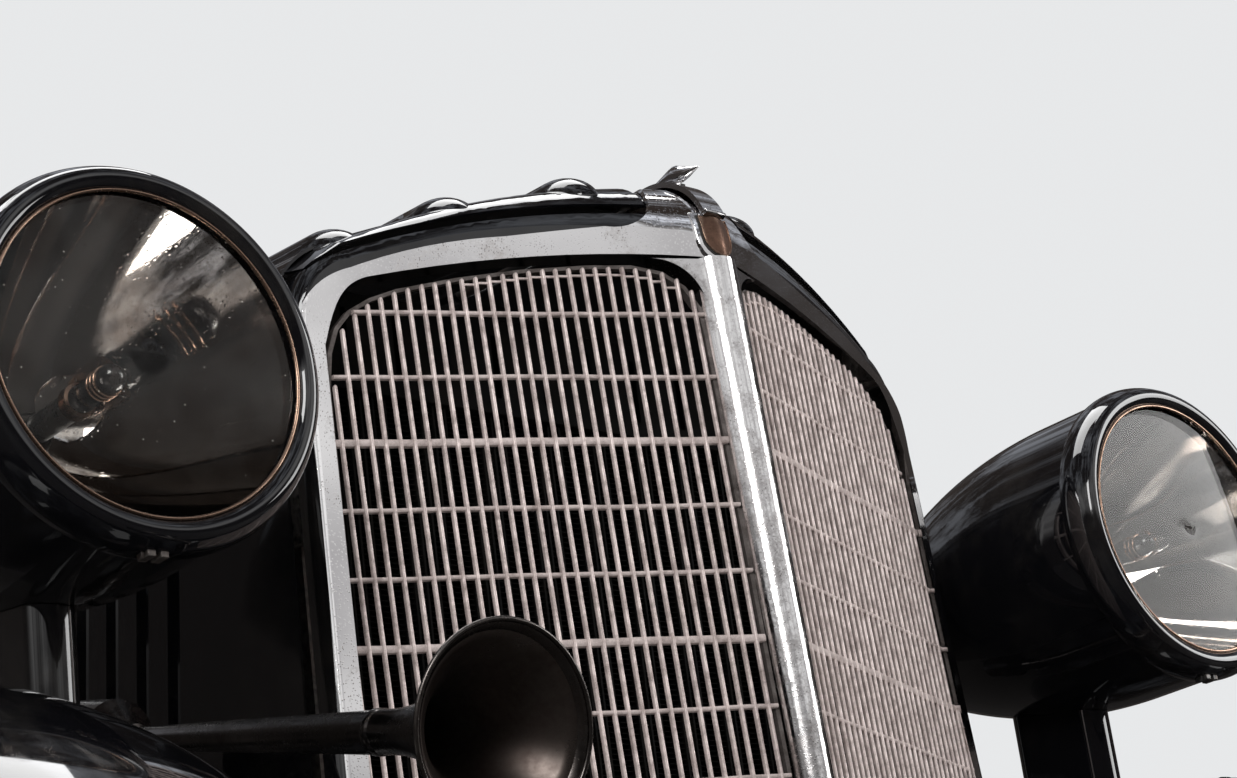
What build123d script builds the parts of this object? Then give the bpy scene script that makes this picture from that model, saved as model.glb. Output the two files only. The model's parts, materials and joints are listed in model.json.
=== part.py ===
# Front end of a vintage sedan: V grille in its shell, ribbed hood, lamps, horns and fenders.
# Millimetres. The front faces -Y, +X is the car's left, +Z is up.
# The origin is the centre of the radiator cradle's underside, where it sits on the frame.
import os
from math import acos, atan, atan2, cos, hypot, radians, sin

from build123d import *

os.makedirs("parts", exist_ok=True)

# Grille plane: two flat halves that meet on a ridge and lean back
DATUM_Z = 500.0
RIDGE_Y = -200.0
SWEEP_BACK = 0.4024
LEAN = 0.051

# Grille lattice
LEVEL_SPACING = 48.0
LEVELS_UP = 2
LEVELS_DOWN = 8
THICK_EVERY = 3
BAR_PITCH = 9.1
BAR_WIDTH = 2.4
CROSSBAR_THIN = 3.0
CROSSBAR_THICK = 6.0
BAR_DEPTH = 3.0
GRILLE_FRAME_WIDTH = 3.0
GRILLE_FRAME_DEPTH = 9.0
GRILLE_SEAT = 1.1
GRILLE_TIP_GAP = 6.0
RIB_HALF_WIDTH_TOP = 18.0
RIB_HALF_WIDTH_BOTTOM = 13.0
RIB_PROUD = 9.0
RIB_DEPTH = 12.0

# Shell hoop, from the bottom of the side over the corner to the crown's middle
SHEET = 2.0
SHELL_BOTTOM_Z = 60.0
OPENING_BOTTOM_Z = 97.0
SHELL_SIDE_TOP_Z = 600.0
SHELL_TOP_Z = 711.0
SHELL_BOTTOM_X = 302.0
SHELL_SIDE_X = 288.0
CHROME_PROUD = 3.0
CHROME_LIP = 16.0
SEAT_GAP = 0.8
# columns: x, z, outward angle, rear edge y, roll radius, chrome start as share of the roll, width to lip
HOOP = [
    (SHELL_BOTTOM_X, SHELL_BOTTOM_Z, 1.5, -86.0, 11.0, 0.80, 18.0),
    (288.8, 570.0, 1.5, -65.0, 11.0, 0.80, 15.0),
    (SHELL_SIDE_X, SHELL_SIDE_TOP_Z, 3.0, -64.0, 11.0, 0.80, 24.0),
    (277.0, 630.0, 36.0, -66.0, 14.0, 0.60, 28.0),
    (252.0, 650.0, 68.0, -72.0, 18.0, 0.40, 31.0),
    (148.0, 688.0, 75.0, -91.0, 32.0, 0.22, 52.0),
    (0.0, SHELL_TOP_Z, 90.0, -118.0, 58.0, 0.02, 72.0),
]
FACE_SHARE = 0.66
LOBE_X = 40.0
# columns: x, z of the edge between paint and chrome in the front view, from the side to the middle
PAINT_EDGE = [
    (286.0, 598.0),
    (273.0, 616.0),
    (251.0, 628.0),
    (200.0, 645.0),
    (147.0, 653.5),
    (112.0, 658.5),
    (77.0, 663.0),
    (52.0, 669.0),
    (41.0, 684.0),
    (34.0, 700.0),
    (12.0, 716.0),
]
OPENING_CORNER_R = 72.0
OPENING_INNER_R = 36.0
OPENING_TOP_MID = (136.0, 637.0)
OPENING_TOP_INNER_Z = 639.0
OPENING_TOP_OUTER_Z = 616.0

# Hood, lofted from a front section to a larger rear one
HOOD_FRONT_Y = -118.0
HOOD_REAR_Y = 860.0
HOOD_REAR_TOP_Z = 792.0
HOOD_WIDENS = 0.27
HOOD_DEEPENS = 0.15
HOOD_GAP = 5.0
HOOD_SLANT = 54.0
HOOD_SPLIT_DROP = 129.0
HOOD_EDGE_X = 9.5
HOOD_SHEET = 2.0
HOOD_RISE = 3.0
# columns: x at the front, drop below the crown, outward angle
HOOD_ARCH = [
    (0.0, -HOOD_RISE, 84.0),
    (148.0, 19.5, 75.0),
    (252.0, 58.0, 68.0),
    (277.0, 79.5, 36.0),
    (SHELL_SIDE_X, SHELL_TOP_Z - SHELL_SIDE_TOP_Z, 3.0),
]
# The hood's rolled front edge: where it ends, as shares of the shell's roll, from the middle outward
NOSE_SEAMS = [0.74, 0.69, 0.42, 0.10]
NOSE_LAP = 8.0
# columns: x and drop of the rib's axis at the front, y of its tip
HOOD_RIBS = [(75.0, 17.0, -156.0), (161.0, 38.2, -124.0), (233.0, 65.0, -90.0)]
HOOD_RIB_R = 24.0
HOOD_RIB_END_R = 14.0
HOOD_RIB_NOSE = 40.0
HOOD_RIB_LENGTH = 640.0
SIDE_OVER_FENDER = 17.0
SIDE_FLARE = 0.026
SIDE_LEAN = 0.025
LOUVRE_COUNT = 16
LOUVRE_PITCH = 36.0
LOUVRE_WIDTH = 16.0
LOUVRE_HEIGHT = 180.0
LOUVRE_PROUD = 5.0
LOUVRE_START = 180.0
LOUVRE_DROP = 160.0

# Hinges of the hood
HINGE_R = 5.0
HINGE_CLEAR = 0.3
KNUCKLE_R = 8.5
KNUCKLE_LENGTH = 40.0
KNUCKLE_SHIFT = 46.0
KNUCKLE_STATIONS = (120.0, 455.0, 790.0)
SPIGOT_R = 4.0
SPIGOT_LENGTH = 40.0
SHOULDER_R = 3.0
SHOULDER_KNUCKLE_R = 6.0
SHOULDER_EDGE = 4.5
SHOULDER_STATIONS = (30.0, 400.0, 770.0)
HANDLE_Y = 420.0
HANDLE_LENGTH = 110.0
HANDLE_POSTS = 70.0
HANDLE_WIDTH = 12.0
HANDLE_REACH = 12.0
HANDLE_RISE = 30.0
BRACKET_THICKNESS = 4.0
BRACKET_WIDTH = 30.0
BRACKET_LENGTH = 30.0
BRACKET_DROP = 3.0

# Lamps
LAMP_X = 475.0
LAMP_Z = 492.0
LAMP_FRONT_Y = -197.0
LAMP_R = 122.0
RIM_WIDTH = 18.0
RIM_DEPTH = 28.0
RIM_ROUND = 8.0
BUCKET_R = 119.0
BUCKET_LENGTH = 342.0
BUCKET_STRAIGHT = 60.0
BUCKET_TIP_R = 10.0
LAMP_SHEET = 2.0
LENS_SEAT = 6.0
REFLECTOR_SHEET = 1.5
REFLECTOR_MIDDLE = 0.55
LENS_THICKNESS = 4.0
LENS_DOME = 5.0
REFLECTOR_DEPTH = 135.0
BULB_R = 9.0
BULB_TIP_DEPTH = 39.0
BULB_CLEAR = 0.3
PEDESTAL_Y = -30.0
PEDESTAL_LENGTH = 90.0
PEDESTAL_WIDTH = 34.0
PEDESTAL_LOW_Z = 250.0

# Horns, which point forward and a little down
HORN_X = 377.0
HORN_LIFT = -30.0
HORN_FRONT_Y = -362.0
HORN_TILT = 14.4
HORN_BELL_R = 60.0
HORN_NECK_R = 13.0
HORN_NECK_AT = 110.0
HORN_TAIL_R = 7.0
HORN_LENGTH = 395.0
HORN_SHEET = 1.5
HORN_DEPTH = 150.0
HORN_FLARE = 0.3
HORN_FLARE_AT = 0.4
MOTOR_NOSE_R = 12.0
BRACKET_POST = 24.0
MOTOR_R = 26.0
MOTOR_LENGTH = 58.0

# Fenders turn about an axis near the wheel's
FENDER_AXIS_Y = -50.0
FENDER_AXIS_Z = -60.0
FENDER_INNER_X = 420.0
FENDER_CROWN_X = 640.0
FENDER_OUTER_X = 840.0
FENDER_INNER_R = 315.0
FENDER_CROWN_R = 372.0
FENDER_OUTER_R = 290.0
FENDER_SKIRT = 70.0
FENDER_SHEET = 2.0
FENDER_SWEEP = 194.0
SKIRT_BOTTOM_Z = -20.0
FENDER_BOLT_R = 5.0
FENDER_BOLT_Y = 130.0
FENDER_BOLT_SPACING_Y = 140.0
FENDER_BOLT_SPACING_Z = 60.0
FENDER_BOLT_Z = 30.0

# Panels between shell and fender
CATWALK_REAR_Y = 250.0
WEB_X = 303.5

# Radiator and its cradle
CORE_DEPTH = 70.0
CORE_CLEAR = 15.0
CORE_TOP_Z = 640.0
TANK_HEIGHT = 75.0
TANK_PROUD = 8.0
CRADLE_CLEAR = 8.0
CRADLE_DEPTH = 100.0
CRADLE_FOOT = 20.0
CRADLE_SIDE = 30.0
CRADLE_BAR = 40.0
CRADLE_TOP_Z = 590.0
WING_FRONT_Y = -70.0
WING_DEPTH = 44.0
WING_LOW_Z = 440.0
SADDLE_HOLE_R = 6.5
SADDLE_SPACING_X = 400.0
SADDLE_SPACING_Y = 80.0
STAY_R = 5.0
STAY_X = 150.0
STAY_REAR_X = 190.0
STAY_REAR_Z = 640.0

# Nose trim on the crown
STRIP_HALF_WIDTH = 10.0
STRIP_THICKNESS = 4.0
STRIP_ANGLE = 20.0
SHIELD_HALF_WIDTH = 15.0
SHIELD_TIP_Z = 634.0
SHIELD_LENGTH = 37.0
SHIELD_POINT = 12.0
SHIELD_TILT = 15.0
SHIELD_THICKNESS = 5.0
FIN_THICKNESS = 8.0
FIN_TIP_HEIGHT = 16.5
FIN_PEAK_HEIGHT = 13.5
FIN_NECK_HEIGHT = 6.0
FIN_TIP_ANGLE = 50.0
FIN_NECK_ANGLE = 56.0
FIN_BASE_ANGLE = 62.0
FIN_PEAK_ANGLE = 70.0
FIN_REAR_ANGLE = 96.0


def face_y(x, z):
    """Depth of the grille plane at a place in the front view."""
    return RIDGE_Y + SWEEP_BACK * abs(x) + LEAN * (z - DATUM_Z)


def write(part, name):
    part.label = name
    export_step(part, "parts/" + name + ".step")


sweep = atan(SWEEP_BACK)
left_face = Plane(
    origin=(0, RIDGE_Y, DATUM_Z),
    x_dir=(cos(sweep), sin(sweep), 0),
    z_dir=(sin(sweep), -cos(sweep), LEAN * cos(sweep)),
)


def on_face(x, z):
    """Place in the left face's own sketch of a point given in the front view."""
    local = left_face.to_local_coords(Vector(x, face_y(x, z), z))
    return (local.X, local.Y)


# Shell: the sections of the hoop
def hoop_section(station):
    x, z, angle, rear_y, roll, share, width = station
    outward = (cos(radians(angle)), sin(radians(angle)))
    plane = Plane(
        origin=(x, 0, z),
        x_dir=(-outward[0], 0, -outward[1]),
        z_dir=(outward[1], 0, -outward[0]),
    )
    slope = SWEEP_BACK * outward[0] + LEAN * outward[1]
    turn = radians(90) - atan(slope)
    front = face_y(x, z)
    roll_end = roll * (1 - cos(turn))
    roll_y = front - slope * roll_end + roll * sin(turn)

    def on_roll(radius, at):
        return (roll - radius * cos(at), roll_y - radius * sin(at))

    def on_front(inward, proud):
        return (inward, front - slope * inward - proud * hypot(1, slope))

    return plane, turn, on_roll, on_front


def band_section(station):
    rear_y, roll = station[3:5]
    plane, turn, on_roll, on_front = hoop_section(station)
    roll_end = on_roll(roll, turn)[0]
    stub = roll_end + FACE_SHARE * (station[6] - roll_end)
    inner_turn = on_roll(roll - SHEET, turn)
    with BuildSketch(plane) as section:
        with BuildLine():
            Line((0, rear_y), on_roll(roll, 0))
            ThreePointArc(on_roll(roll, 0), on_roll(roll, turn / 2), on_roll(roll, turn))
            Line(on_roll(roll, turn), on_front(stub, 0))
            Line(on_front(stub, 0), on_front(stub, -SHEET))
            Line(on_front(stub, -SHEET), inner_turn)
            ThreePointArc(inner_turn, on_roll(roll - SHEET, turn / 2), on_roll(roll - SHEET, 0))
            Line(on_roll(roll - SHEET, 0), (SHEET, rear_y))
            Line((SHEET, rear_y), (0, rear_y))
        make_face()
    return section


def chrome_section(station):
    roll, share, width = station[4:7]
    plane, turn, on_roll, on_front = hoop_section(station)
    start = share * turn
    middle = (start + turn) / 2
    inner = roll + SEAT_GAP
    outer = roll + CHROME_PROUD
    lip_y = on_front(width, 0)[1] + CHROME_LIP
    with BuildSketch(plane) as section:
        with BuildLine():
            Line(on_roll(inner, start), on_roll(outer, start))
            ThreePointArc(on_roll(outer, start), on_roll(outer, middle), on_roll(outer, turn))
            Line(on_roll(outer, turn), on_front(width, CHROME_PROUD))
            Line(on_front(width, CHROME_PROUD), (width, lip_y))
            Line((width, lip_y), (width - SHEET, lip_y))
            Line((width - SHEET, lip_y), on_front(width - SHEET, SEAT_GAP))
            Line(on_front(width - SHEET, SEAT_GAP), on_roll(inner, turn))
            ThreePointArc(on_roll(inner, turn), on_roll(inner, middle), on_roll(inner, start))
        make_face()
    return section


def hoop_loft(section):
    """Side, corner and crown of the left half, each from its own stations."""
    for first, last, straight in ((0, 1, True), (1, 4, False), (4, 6, False)):
        loft([section(station).sketch for station in HOOP[first : last + 1]], ruled=straight)


# Hood: the outer form is a block, the sheet is what is left when the inner block is cut out
def hood_share(y):
    return (y - HOOD_FRONT_Y) / (HOOD_REAR_Y - HOOD_FRONT_Y)


def hood_point(x, drop, y):
    """A point of the hood's surface, given at the front and carried back to y."""
    share = hood_share(y)
    crown = SHELL_TOP_Z + (HOOD_REAR_TOP_Z - SHELL_TOP_Z) * share
    return (x * (1 + HOOD_WIDENS * share), crown - drop * (1 + HOOD_DEEPENS * share))


def hood_front_y(x):
    return HOOD_FRONT_Y + HOOD_GAP + HOOD_SLANT * x / SHELL_SIDE_X


def nose_section(row, inset, past, deep):
    """The hood's rolled front edge at a station, as a filled section from the seam back to the sheet."""
    station = HOOP[-1 - row]
    x, z, angle, rear_y, roll = station[:5]
    drop = HOOD_ARCH[row][1]
    plane, turn, on_roll, on_front = hoop_section(station)
    out = radians(angle)
    radius = roll + (SHELL_TOP_Z - drop - z) * sin(out) - inset
    back_y = hood_front_y(x) + NOSE_LAP
    back_x, back_z = hood_point(x, drop, back_y)
    rise = (back_x - x) * cos(out) + (back_z - z) * sin(out) - inset
    centre_y = on_roll(0, 0)[1]
    reach = hypot(roll + rise, back_y - centre_y)
    leave = acos(radius / reach) - atan2(back_y - centre_y, roll + rise)
    seam = NOSE_SEAMS[row] * turn + past / roll
    edge = on_roll(radius, seam)
    with BuildSketch(plane) as section:
        with BuildLine():
            ThreePointArc(edge, on_roll(radius, (seam + leave) / 2), on_roll(radius, leave))
            Line(on_roll(radius, leave), (-rise, back_y))
            Line((-rise, back_y), (roll + deep, back_y))
            Line((roll + deep, back_y), (roll + deep, centre_y))
            Line((roll + deep, centre_y), edge)
        make_face()
    return section


def nose_block(inset, past, deep, half_notch):
    """The rolled front edge of the left half, with the notch round the chrome lobe."""
    with BuildPart() as block:
        loft([nose_section(row, inset, past, deep).sketch for row in (0, 1, 2)])
        loft([nose_section(row, inset, past, deep).sketch for row in (2, 3)], ruled=True)
        with Locations((0, HOOD_FRONT_Y + HOOD_GAP, SHELL_TOP_Z)):
            Box(
                2 * half_notch,
                SHELL_TOP_Z,
                SHELL_TOP_Z,
                align=(Align.CENTER, Align.MAX, Align.CENTER),
                mode=Mode.SUBTRACT,
            )
    return block.part


band_cutter = nose_block(-HOOD_GAP, HOOD_GAP, HOOD_GAP, LOBE_X)
with BuildPart() as shell_band:
    hoop_loft(band_section)
    add(band_cutter, mode=Mode.SUBTRACT)
    mirror(about=Plane.YZ)

lip_bottom_x = SHELL_BOTTOM_X - HOOP[0][6]
with BuildPart() as radiator_surround:
    hoop_loft(chrome_section)
    with BuildSketch(Plane.XZ):
        with BuildLine():
            for first, middle, last in zip(PAINT_EDGE[0::2], PAINT_EDGE[1::2], PAINT_EDGE[2::2]):
                ThreePointArc(first, middle, last)
            Polyline(
                PAINT_EDGE[-1],
                (PAINT_EDGE[-1][0], 2 * SHELL_TOP_Z),
                (2 * SHELL_SIDE_X, 2 * SHELL_TOP_Z),
                (2 * SHELL_SIDE_X, PAINT_EDGE[0][1]),
                PAINT_EDGE[0],
            )
        make_face()
    extrude(amount=SHELL_TOP_Z, both=True, mode=Mode.SUBTRACT)
    with BuildSketch(Plane.XY.offset(SHELL_BOTTOM_Z)):
        with BuildLine():
            Polyline(
                (0, face_y(0, SHELL_BOTTOM_Z) - CHROME_PROUD),
                (lip_bottom_x, face_y(lip_bottom_x, SHELL_BOTTOM_Z) - CHROME_PROUD),
                (lip_bottom_x, face_y(lip_bottom_x, SHELL_BOTTOM_Z) + CHROME_LIP),
                (0, face_y(0, SHELL_BOTTOM_Z) + CHROME_LIP),
                close=True,
            )
        make_face()
    extrude(amount=OPENING_BOTTOM_Z - SHELL_BOTTOM_Z, dir=(0, LEAN, 1))
    mirror(about=Plane.YZ)

# Post on the ridge, with a web that rounds each inner corner of the opening
rib_top_z = OPENING_TOP_INNER_Z - GRILLE_SEAT
rib_taper = RIB_DEPTH * SWEEP_BACK
with BuildPart() as centre_rib:
    for z, half in ((OPENING_BOTTOM_Z, RIB_HALF_WIDTH_BOTTOM), (rib_top_z, RIB_HALF_WIDTH_TOP)):
        ridge = face_y(0, z)
        edge = face_y(half, z)
        with BuildSketch(Plane.XY.offset(z)):
            with BuildLine():
                ThreePointArc((-half, edge), (0, ridge - RIB_PROUD), (half, edge))
                Line((half, edge), (half - rib_taper, edge + RIB_DEPTH))
                Line((half - rib_taper, edge + RIB_DEPTH), (rib_taper - half, edge + RIB_DEPTH))
                Line((rib_taper - half, edge + RIB_DEPTH), (-half, edge))
            make_face()
    loft(ruled=True)
    with BuildSketch(left_face) as web:
        corner_x, corner_y = on_face(RIB_HALF_WIDTH_TOP - CHROME_PROUD, rib_top_z)
        bend = OPENING_INNER_R * (1 - sin(radians(45)))
        with BuildLine():
            Line((corner_x, corner_y), (corner_x + OPENING_INNER_R, corner_y))
            ThreePointArc(
                (corner_x + OPENING_INNER_R, corner_y),
                (corner_x + bend, corner_y - bend),
                (corner_x, corner_y - OPENING_INNER_R),
            )
            Line((corner_x, corner_y - OPENING_INNER_R), (corner_x, corner_y))
        make_face()
    extrude(web.sketch, amount=CHROME_PROUD)
    extrude(web.sketch, amount=-RIB_DEPTH)
    mirror(about=Plane.YZ)

# Grille: uprights with free ends in front, crossbars let into their backs, and a rim that seats in the lip
grille_bottom_x = SHELL_BOTTOM_X - HOOP[0][6] - GRILLE_SEAT
grille_top_x = HOOP[1][0] - HOOP[1][6] - GRILLE_SEAT
uprights_from = RIB_HALF_WIDTH_TOP + GRILLE_FRAME_WIDTH
upright_count = int((grille_bottom_x - uprights_from) / BAR_PITCH) + 1


def opening_face(inset, mode):
    """The opening's outline, drawn smaller by an inset, in the sketch that is open."""
    corners = [
        (RIB_HALF_WIDTH_BOTTOM + GRILLE_SEAT + inset, OPENING_BOTTOM_Z + GRILLE_SEAT + inset),
        (grille_bottom_x - inset, OPENING_BOTTOM_Z + GRILLE_SEAT + inset),
        (grille_top_x - inset, OPENING_TOP_OUTER_Z - GRILLE_SEAT - inset),
        (OPENING_TOP_MID[0], OPENING_TOP_MID[1] - GRILLE_SEAT - inset),
        (RIB_HALF_WIDTH_TOP + GRILLE_SEAT + inset, rib_top_z - GRILLE_SEAT - inset),
    ]
    radii = [1.0, 1.0, OPENING_CORNER_R - inset, OPENING_CORNER_R, OPENING_INNER_R]
    with BuildLine() as outline:
        FilletPolyline(*[on_face(x, z) for x, z in corners], radius=radii, close=True)
    make_face(outline.edges(), mode=mode)


def bar(x_low, z_low, x_high, z_high):
    corners = ((x_low, z_low), (x_high, z_low), (x_high, z_high), (x_low, z_high))
    Polygon(*[on_face(x, z) for x, z in corners], align=None)


with BuildPart() as grille_left:
    with BuildSketch(left_face.offset(-BAR_DEPTH)):
        opening_face(0, Mode.ADD)
        opening_face(GRILLE_FRAME_WIDTH, Mode.SUBTRACT)
    extrude(amount=BAR_DEPTH - GRILLE_FRAME_DEPTH)
    with BuildSketch(left_face.offset(-BAR_DEPTH / 2)):
        for level in range(-LEVELS_UP, LEVELS_DOWN + 1):
            thick = CROSSBAR_THICK if level % THICK_EVERY == 0 else CROSSBAR_THIN
            z = DATUM_Z - level * LEVEL_SPACING
            bar(0, z - thick / 2, grille_bottom_x, z + thick / 2)
        opening_face(GRILLE_FRAME_WIDTH / 2, Mode.INTERSECT)
    extrude(amount=-BAR_DEPTH)
    with BuildSketch(left_face):
        for number in range(upright_count):
            x = uprights_from + BAR_PITCH * number
            bar(x, OPENING_BOTTOM_Z, x + BAR_WIDTH, OPENING_TOP_INNER_Z)
        opening_face(GRILLE_TIP_GAP, Mode.INTERSECT)
    extrude(amount=-BAR_DEPTH)


def hood_form(inset, y_from, y_to, low, past, deep):
    """The hood's left half as a solid: the long block, cut off at the slanted front, and the rolled edge."""
    sections = []
    for y in (y_from, y_to):
        arch = []
        for x, drop, angle in HOOD_ARCH:
            out = radians(angle)
            px, pz = hood_point(x, drop, y)
            arch.append((px - inset * cos(out), pz - inset * sin(out)))
        side_x, split_z = hood_point(SHELL_SIDE_X, HOOD_SPLIT_DROP, y)
        with BuildSketch(Plane(origin=(0, y, 0), x_dir=(1, 0, 0), z_dir=(0, -1, 0))) as section:
            with BuildLine():
                ThreePointArc(arch[0], arch[1], arch[2])
                ThreePointArc(arch[2], arch[3], arch[4])
                Line(arch[4], (side_x - inset, split_z - low))
                Line((side_x - inset, split_z - low), (0, split_z - low))
                Line((0, split_z - low), arch[0])
            make_face()
        sections.append(section.sketch)
    reach = 2 * SHELL_SIDE_X
    nose = nose_block(inset, past, deep, LOBE_X + HOOD_GAP)
    with BuildPart() as form:
        loft(sections, ruled=True)
        with BuildSketch(Plane.XY):
            with BuildLine():
                Polyline(
                    (0, HOOD_FRONT_Y - reach),
                    (reach, HOOD_FRONT_Y - reach),
                    (reach, hood_front_y(reach)),
                    (0, hood_front_y(0)),
                    close=True,
                )
            make_face()
        extrude(amount=2 * SHELL_TOP_Z, mode=Mode.SUBTRACT)
        add(nose)
    return form.part


hinge_line = [Vector(0, y, hood_point(0, -HOOD_RISE, y)[1]) for y in (HOOD_FRONT_Y, HOOD_REAR_Y)]
hinge_along = (hinge_line[1] - hinge_line[0]).normalized()
shoulder_line = []
for y in (HOOD_FRONT_Y, HOOD_REAR_Y):
    side_x, split_z = hood_point(SHELL_SIDE_X, HOOD_SPLIT_DROP, y)
    shoulder_line.append(Vector(side_x - HOOD_SHEET / 2, y, split_z))
shoulder_along = (shoulder_line[1] - shoulder_line[0]).normalized()


def across(line, direction, y):
    """A plane square to a hinge line where the line passes y."""
    start = line[0] + direction * ((y - line[0].Y) / direction.Y)
    return Plane(origin=start, x_dir=(1, 0, 0), z_dir=direction)


def tube(plane, radius, length, mode=Mode.ADD):
    """A round bar centred on a plane, along its normal."""
    with BuildSketch(plane) as end:
        Circle(radius)
    extrude(end.sketch, amount=length / 2, both=True, mode=mode)


inner_from = HOOD_FRONT_Y - 4 * HOOD_GAP
inner_to = HOOD_REAR_Y + HOOD_GAP
hood_outer = hood_form(0, HOOD_FRONT_Y - HOOD_GAP, HOOD_REAR_Y, -SHOULDER_EDGE, 0, 0)
hood_inner = hood_form(HOOD_SHEET, inner_from, inner_to, SHOULDER_EDGE, HOOD_GAP, HOOD_RIB_R)


def hood_top_half(shift):
    """The left half, with its hinge knuckles moved along the rod by a shift."""
    with BuildPart() as half:
        add(hood_outer)
        for x, drop, tip_y in HOOD_RIBS:
            ends = []
            for y in (tip_y, tip_y + HOOD_RIB_LENGTH):
                px, pz = hood_point(x, drop, y)
                ends.append(Vector(px, y, pz))
            run = (ends[1] - ends[0]).normalized()
            bend = (HOOD_RIB_NOSE**2 + HOOD_RIB_R**2) / (2 * HOOD_RIB_R)
            turn = atan2(HOOD_RIB_NOSE, bend - HOOD_RIB_R)
            on_nose = (HOOD_RIB_NOSE - bend * sin(turn / 2), HOOD_RIB_R - bend * (1 - cos(turn / 2)))
            with BuildSketch(Plane(origin=ends[0], x_dir=run, z_dir=run.cross(Vector(0, 0, 1)))):
                with BuildLine():
                    ThreePointArc((0, 0), on_nose, (HOOD_RIB_NOSE, HOOD_RIB_R))
                    Line((HOOD_RIB_NOSE, HOOD_RIB_R), (HOOD_RIB_LENGTH, HOOD_RIB_END_R))
                    Line((HOOD_RIB_LENGTH, HOOD_RIB_END_R), (HOOD_RIB_LENGTH, 0))
                    Line((HOOD_RIB_LENGTH, 0), (0, 0))
                make_face()
            revolve(axis=Axis(ends[0], run))
        add(hood_inner, mode=Mode.SUBTRACT)
        with Locations((0, HOOD_REAR_Y / 2, HOOD_REAR_TOP_Z)):
            Box(2 * HOOD_EDGE_X, 2 * HOOD_REAR_Y, 2 * SHELL_TOP_Z, mode=Mode.SUBTRACT)
        leaf = HOOD_EDGE_X + 2 * HOOD_SHEET
        for y in KNUCKLE_STATIONS:
            knuckle = across(hinge_line, hinge_along, y + shift)
            tube(knuckle, KNUCKLE_R, KNUCKLE_LENGTH)
            with BuildSketch(knuckle):
                with Locations((leaf / 2, HOOD_SHEET / 2)):
                    Rectangle(leaf, HOOD_SHEET)
            extrude(amount=KNUCKLE_LENGTH / 2, both=True)
            tube(knuckle, HINGE_R + HINGE_CLEAR, 2 * KNUCKLE_LENGTH, Mode.SUBTRACT)
        for y in SHOULDER_STATIONS:
            knuckle = across(shoulder_line, shoulder_along, y)
            tube(knuckle, SHOULDER_KNUCKLE_R, KNUCKLE_LENGTH)
            tube(knuckle, SHOULDER_R + HINGE_CLEAR, 2 * KNUCKLE_LENGTH, Mode.SUBTRACT)
    return half


hood_top_left = hood_top_half(0)
hood_top_right = hood_top_half(KNUCKLE_SHIFT)

# Side panels hang from the shoulder pin
side_plane = Plane(
    origin=shoulder_line[0],
    x_dir=shoulder_along,
    z_dir=shoulder_along.cross(Vector(-SIDE_FLARE, 0, 1)),
)
side_front_y = hood_front_y(SHELL_SIDE_X)
side_bottom_z = FENDER_AXIS_Z + FENDER_INNER_R + SIDE_OVER_FENDER


def on_side(y, z):
    """Place in the side panel's sketch of a point given in side view."""
    x, split_z = hood_point(SHELL_SIDE_X, HOOD_SPLIT_DROP, y)
    local = side_plane.to_local_coords(Vector(x + SIDE_FLARE * (split_z - z), y, z))
    return (local.X, local.Y)


front_split_z = hood_point(0, HOOD_SPLIT_DROP, side_front_y)[1]
rear_split_z = hood_point(0, HOOD_SPLIT_DROP, HOOD_REAR_Y)[1]
with BuildPart() as hood_side_left:
    with BuildSketch(side_plane):
        with BuildLine():
            Polyline(
                on_side(side_front_y, front_split_z),
                on_side(HOOD_REAR_Y, rear_split_z),
                on_side(HOOD_REAR_Y, side_bottom_z),
                on_side(side_front_y - SIDE_LEAN * (front_split_z - side_bottom_z), side_bottom_z),
                close=True,
            )
        make_face()
    extrude(amount=HOOD_SHEET / 2, both=True)
    with BuildSketch(side_plane.offset(HOOD_SHEET / 2)):
        for number in range(LOUVRE_COUNT):
            with Locations((LOUVRE_START + LOUVRE_PITCH * number, -LOUVRE_DROP)):
                Rectangle(LOUVRE_WIDTH, LOUVRE_HEIGHT)
    extrude(amount=LOUVRE_PROUD, taper=40)
    for y in SHOULDER_STATIONS:
        notch = across(shoulder_line, shoulder_along, y)
        tube(notch, SHOULDER_KNUCKLE_R + 2 * HINGE_CLEAR, KNUCKLE_LENGTH + 2, Mode.SUBTRACT)
    pin_length = (HOOD_REAR_Y - side_front_y) / shoulder_along.Y
    with BuildSketch(across(shoulder_line, shoulder_along, side_front_y)):
        Circle(SHOULDER_R)
    extrude(amount=pin_length)

handle_place = on_side(HANDLE_Y, side_bottom_z + HANDLE_RISE)
with BuildPart() as hood_handle_left:
    with BuildSketch(side_plane.offset(HOOD_SHEET / 2)):
        with Locations(handle_place):
            with GridLocations(HANDLE_POSTS, 1, 2, 1):
                Circle(HANDLE_WIDTH / 3)
    extrude(amount=HANDLE_REACH)
    with BuildSketch(side_plane.offset(HOOD_SHEET / 2 + HANDLE_REACH)):
        with Locations(handle_place):
            SlotOverall(HANDLE_LENGTH, HANDLE_WIDTH)
    extrude(amount=HANDLE_WIDTH / 2)

rod_start = across(hinge_line, hinge_along, HOOD_FRONT_Y + HINGE_R)
rod_length = (HOOD_REAR_Y - HOOD_FRONT_Y - HINGE_R) / hinge_along.Y
bracket_top_z = SHELL_TOP_Z - SHEET - BRACKET_DROP
with BuildPart() as hinge_rod:
    with BuildSketch(rod_start):
        Circle(HINGE_R)
    extrude(amount=rod_length)
    with BuildSketch(rod_start.offset(rod_length)):
        Circle(SPIGOT_R)
    extrude(amount=SPIGOT_LENGTH)
    with Locations((0, HOOD_FRONT_Y + HINGE_R, SHELL_TOP_Z)):
        Box(2 * HINGE_R, BRACKET_THICKNESS, 2 * HINGE_R)
    with Locations((0, HOOD_FRONT_Y - BRACKET_LENGTH / 2 + 2 * HINGE_R, bracket_top_z)):
        Box(BRACKET_WIDTH, BRACKET_LENGTH, BRACKET_THICKNESS, align=(Align.CENTER, Align.CENTER, Align.MAX))


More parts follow.
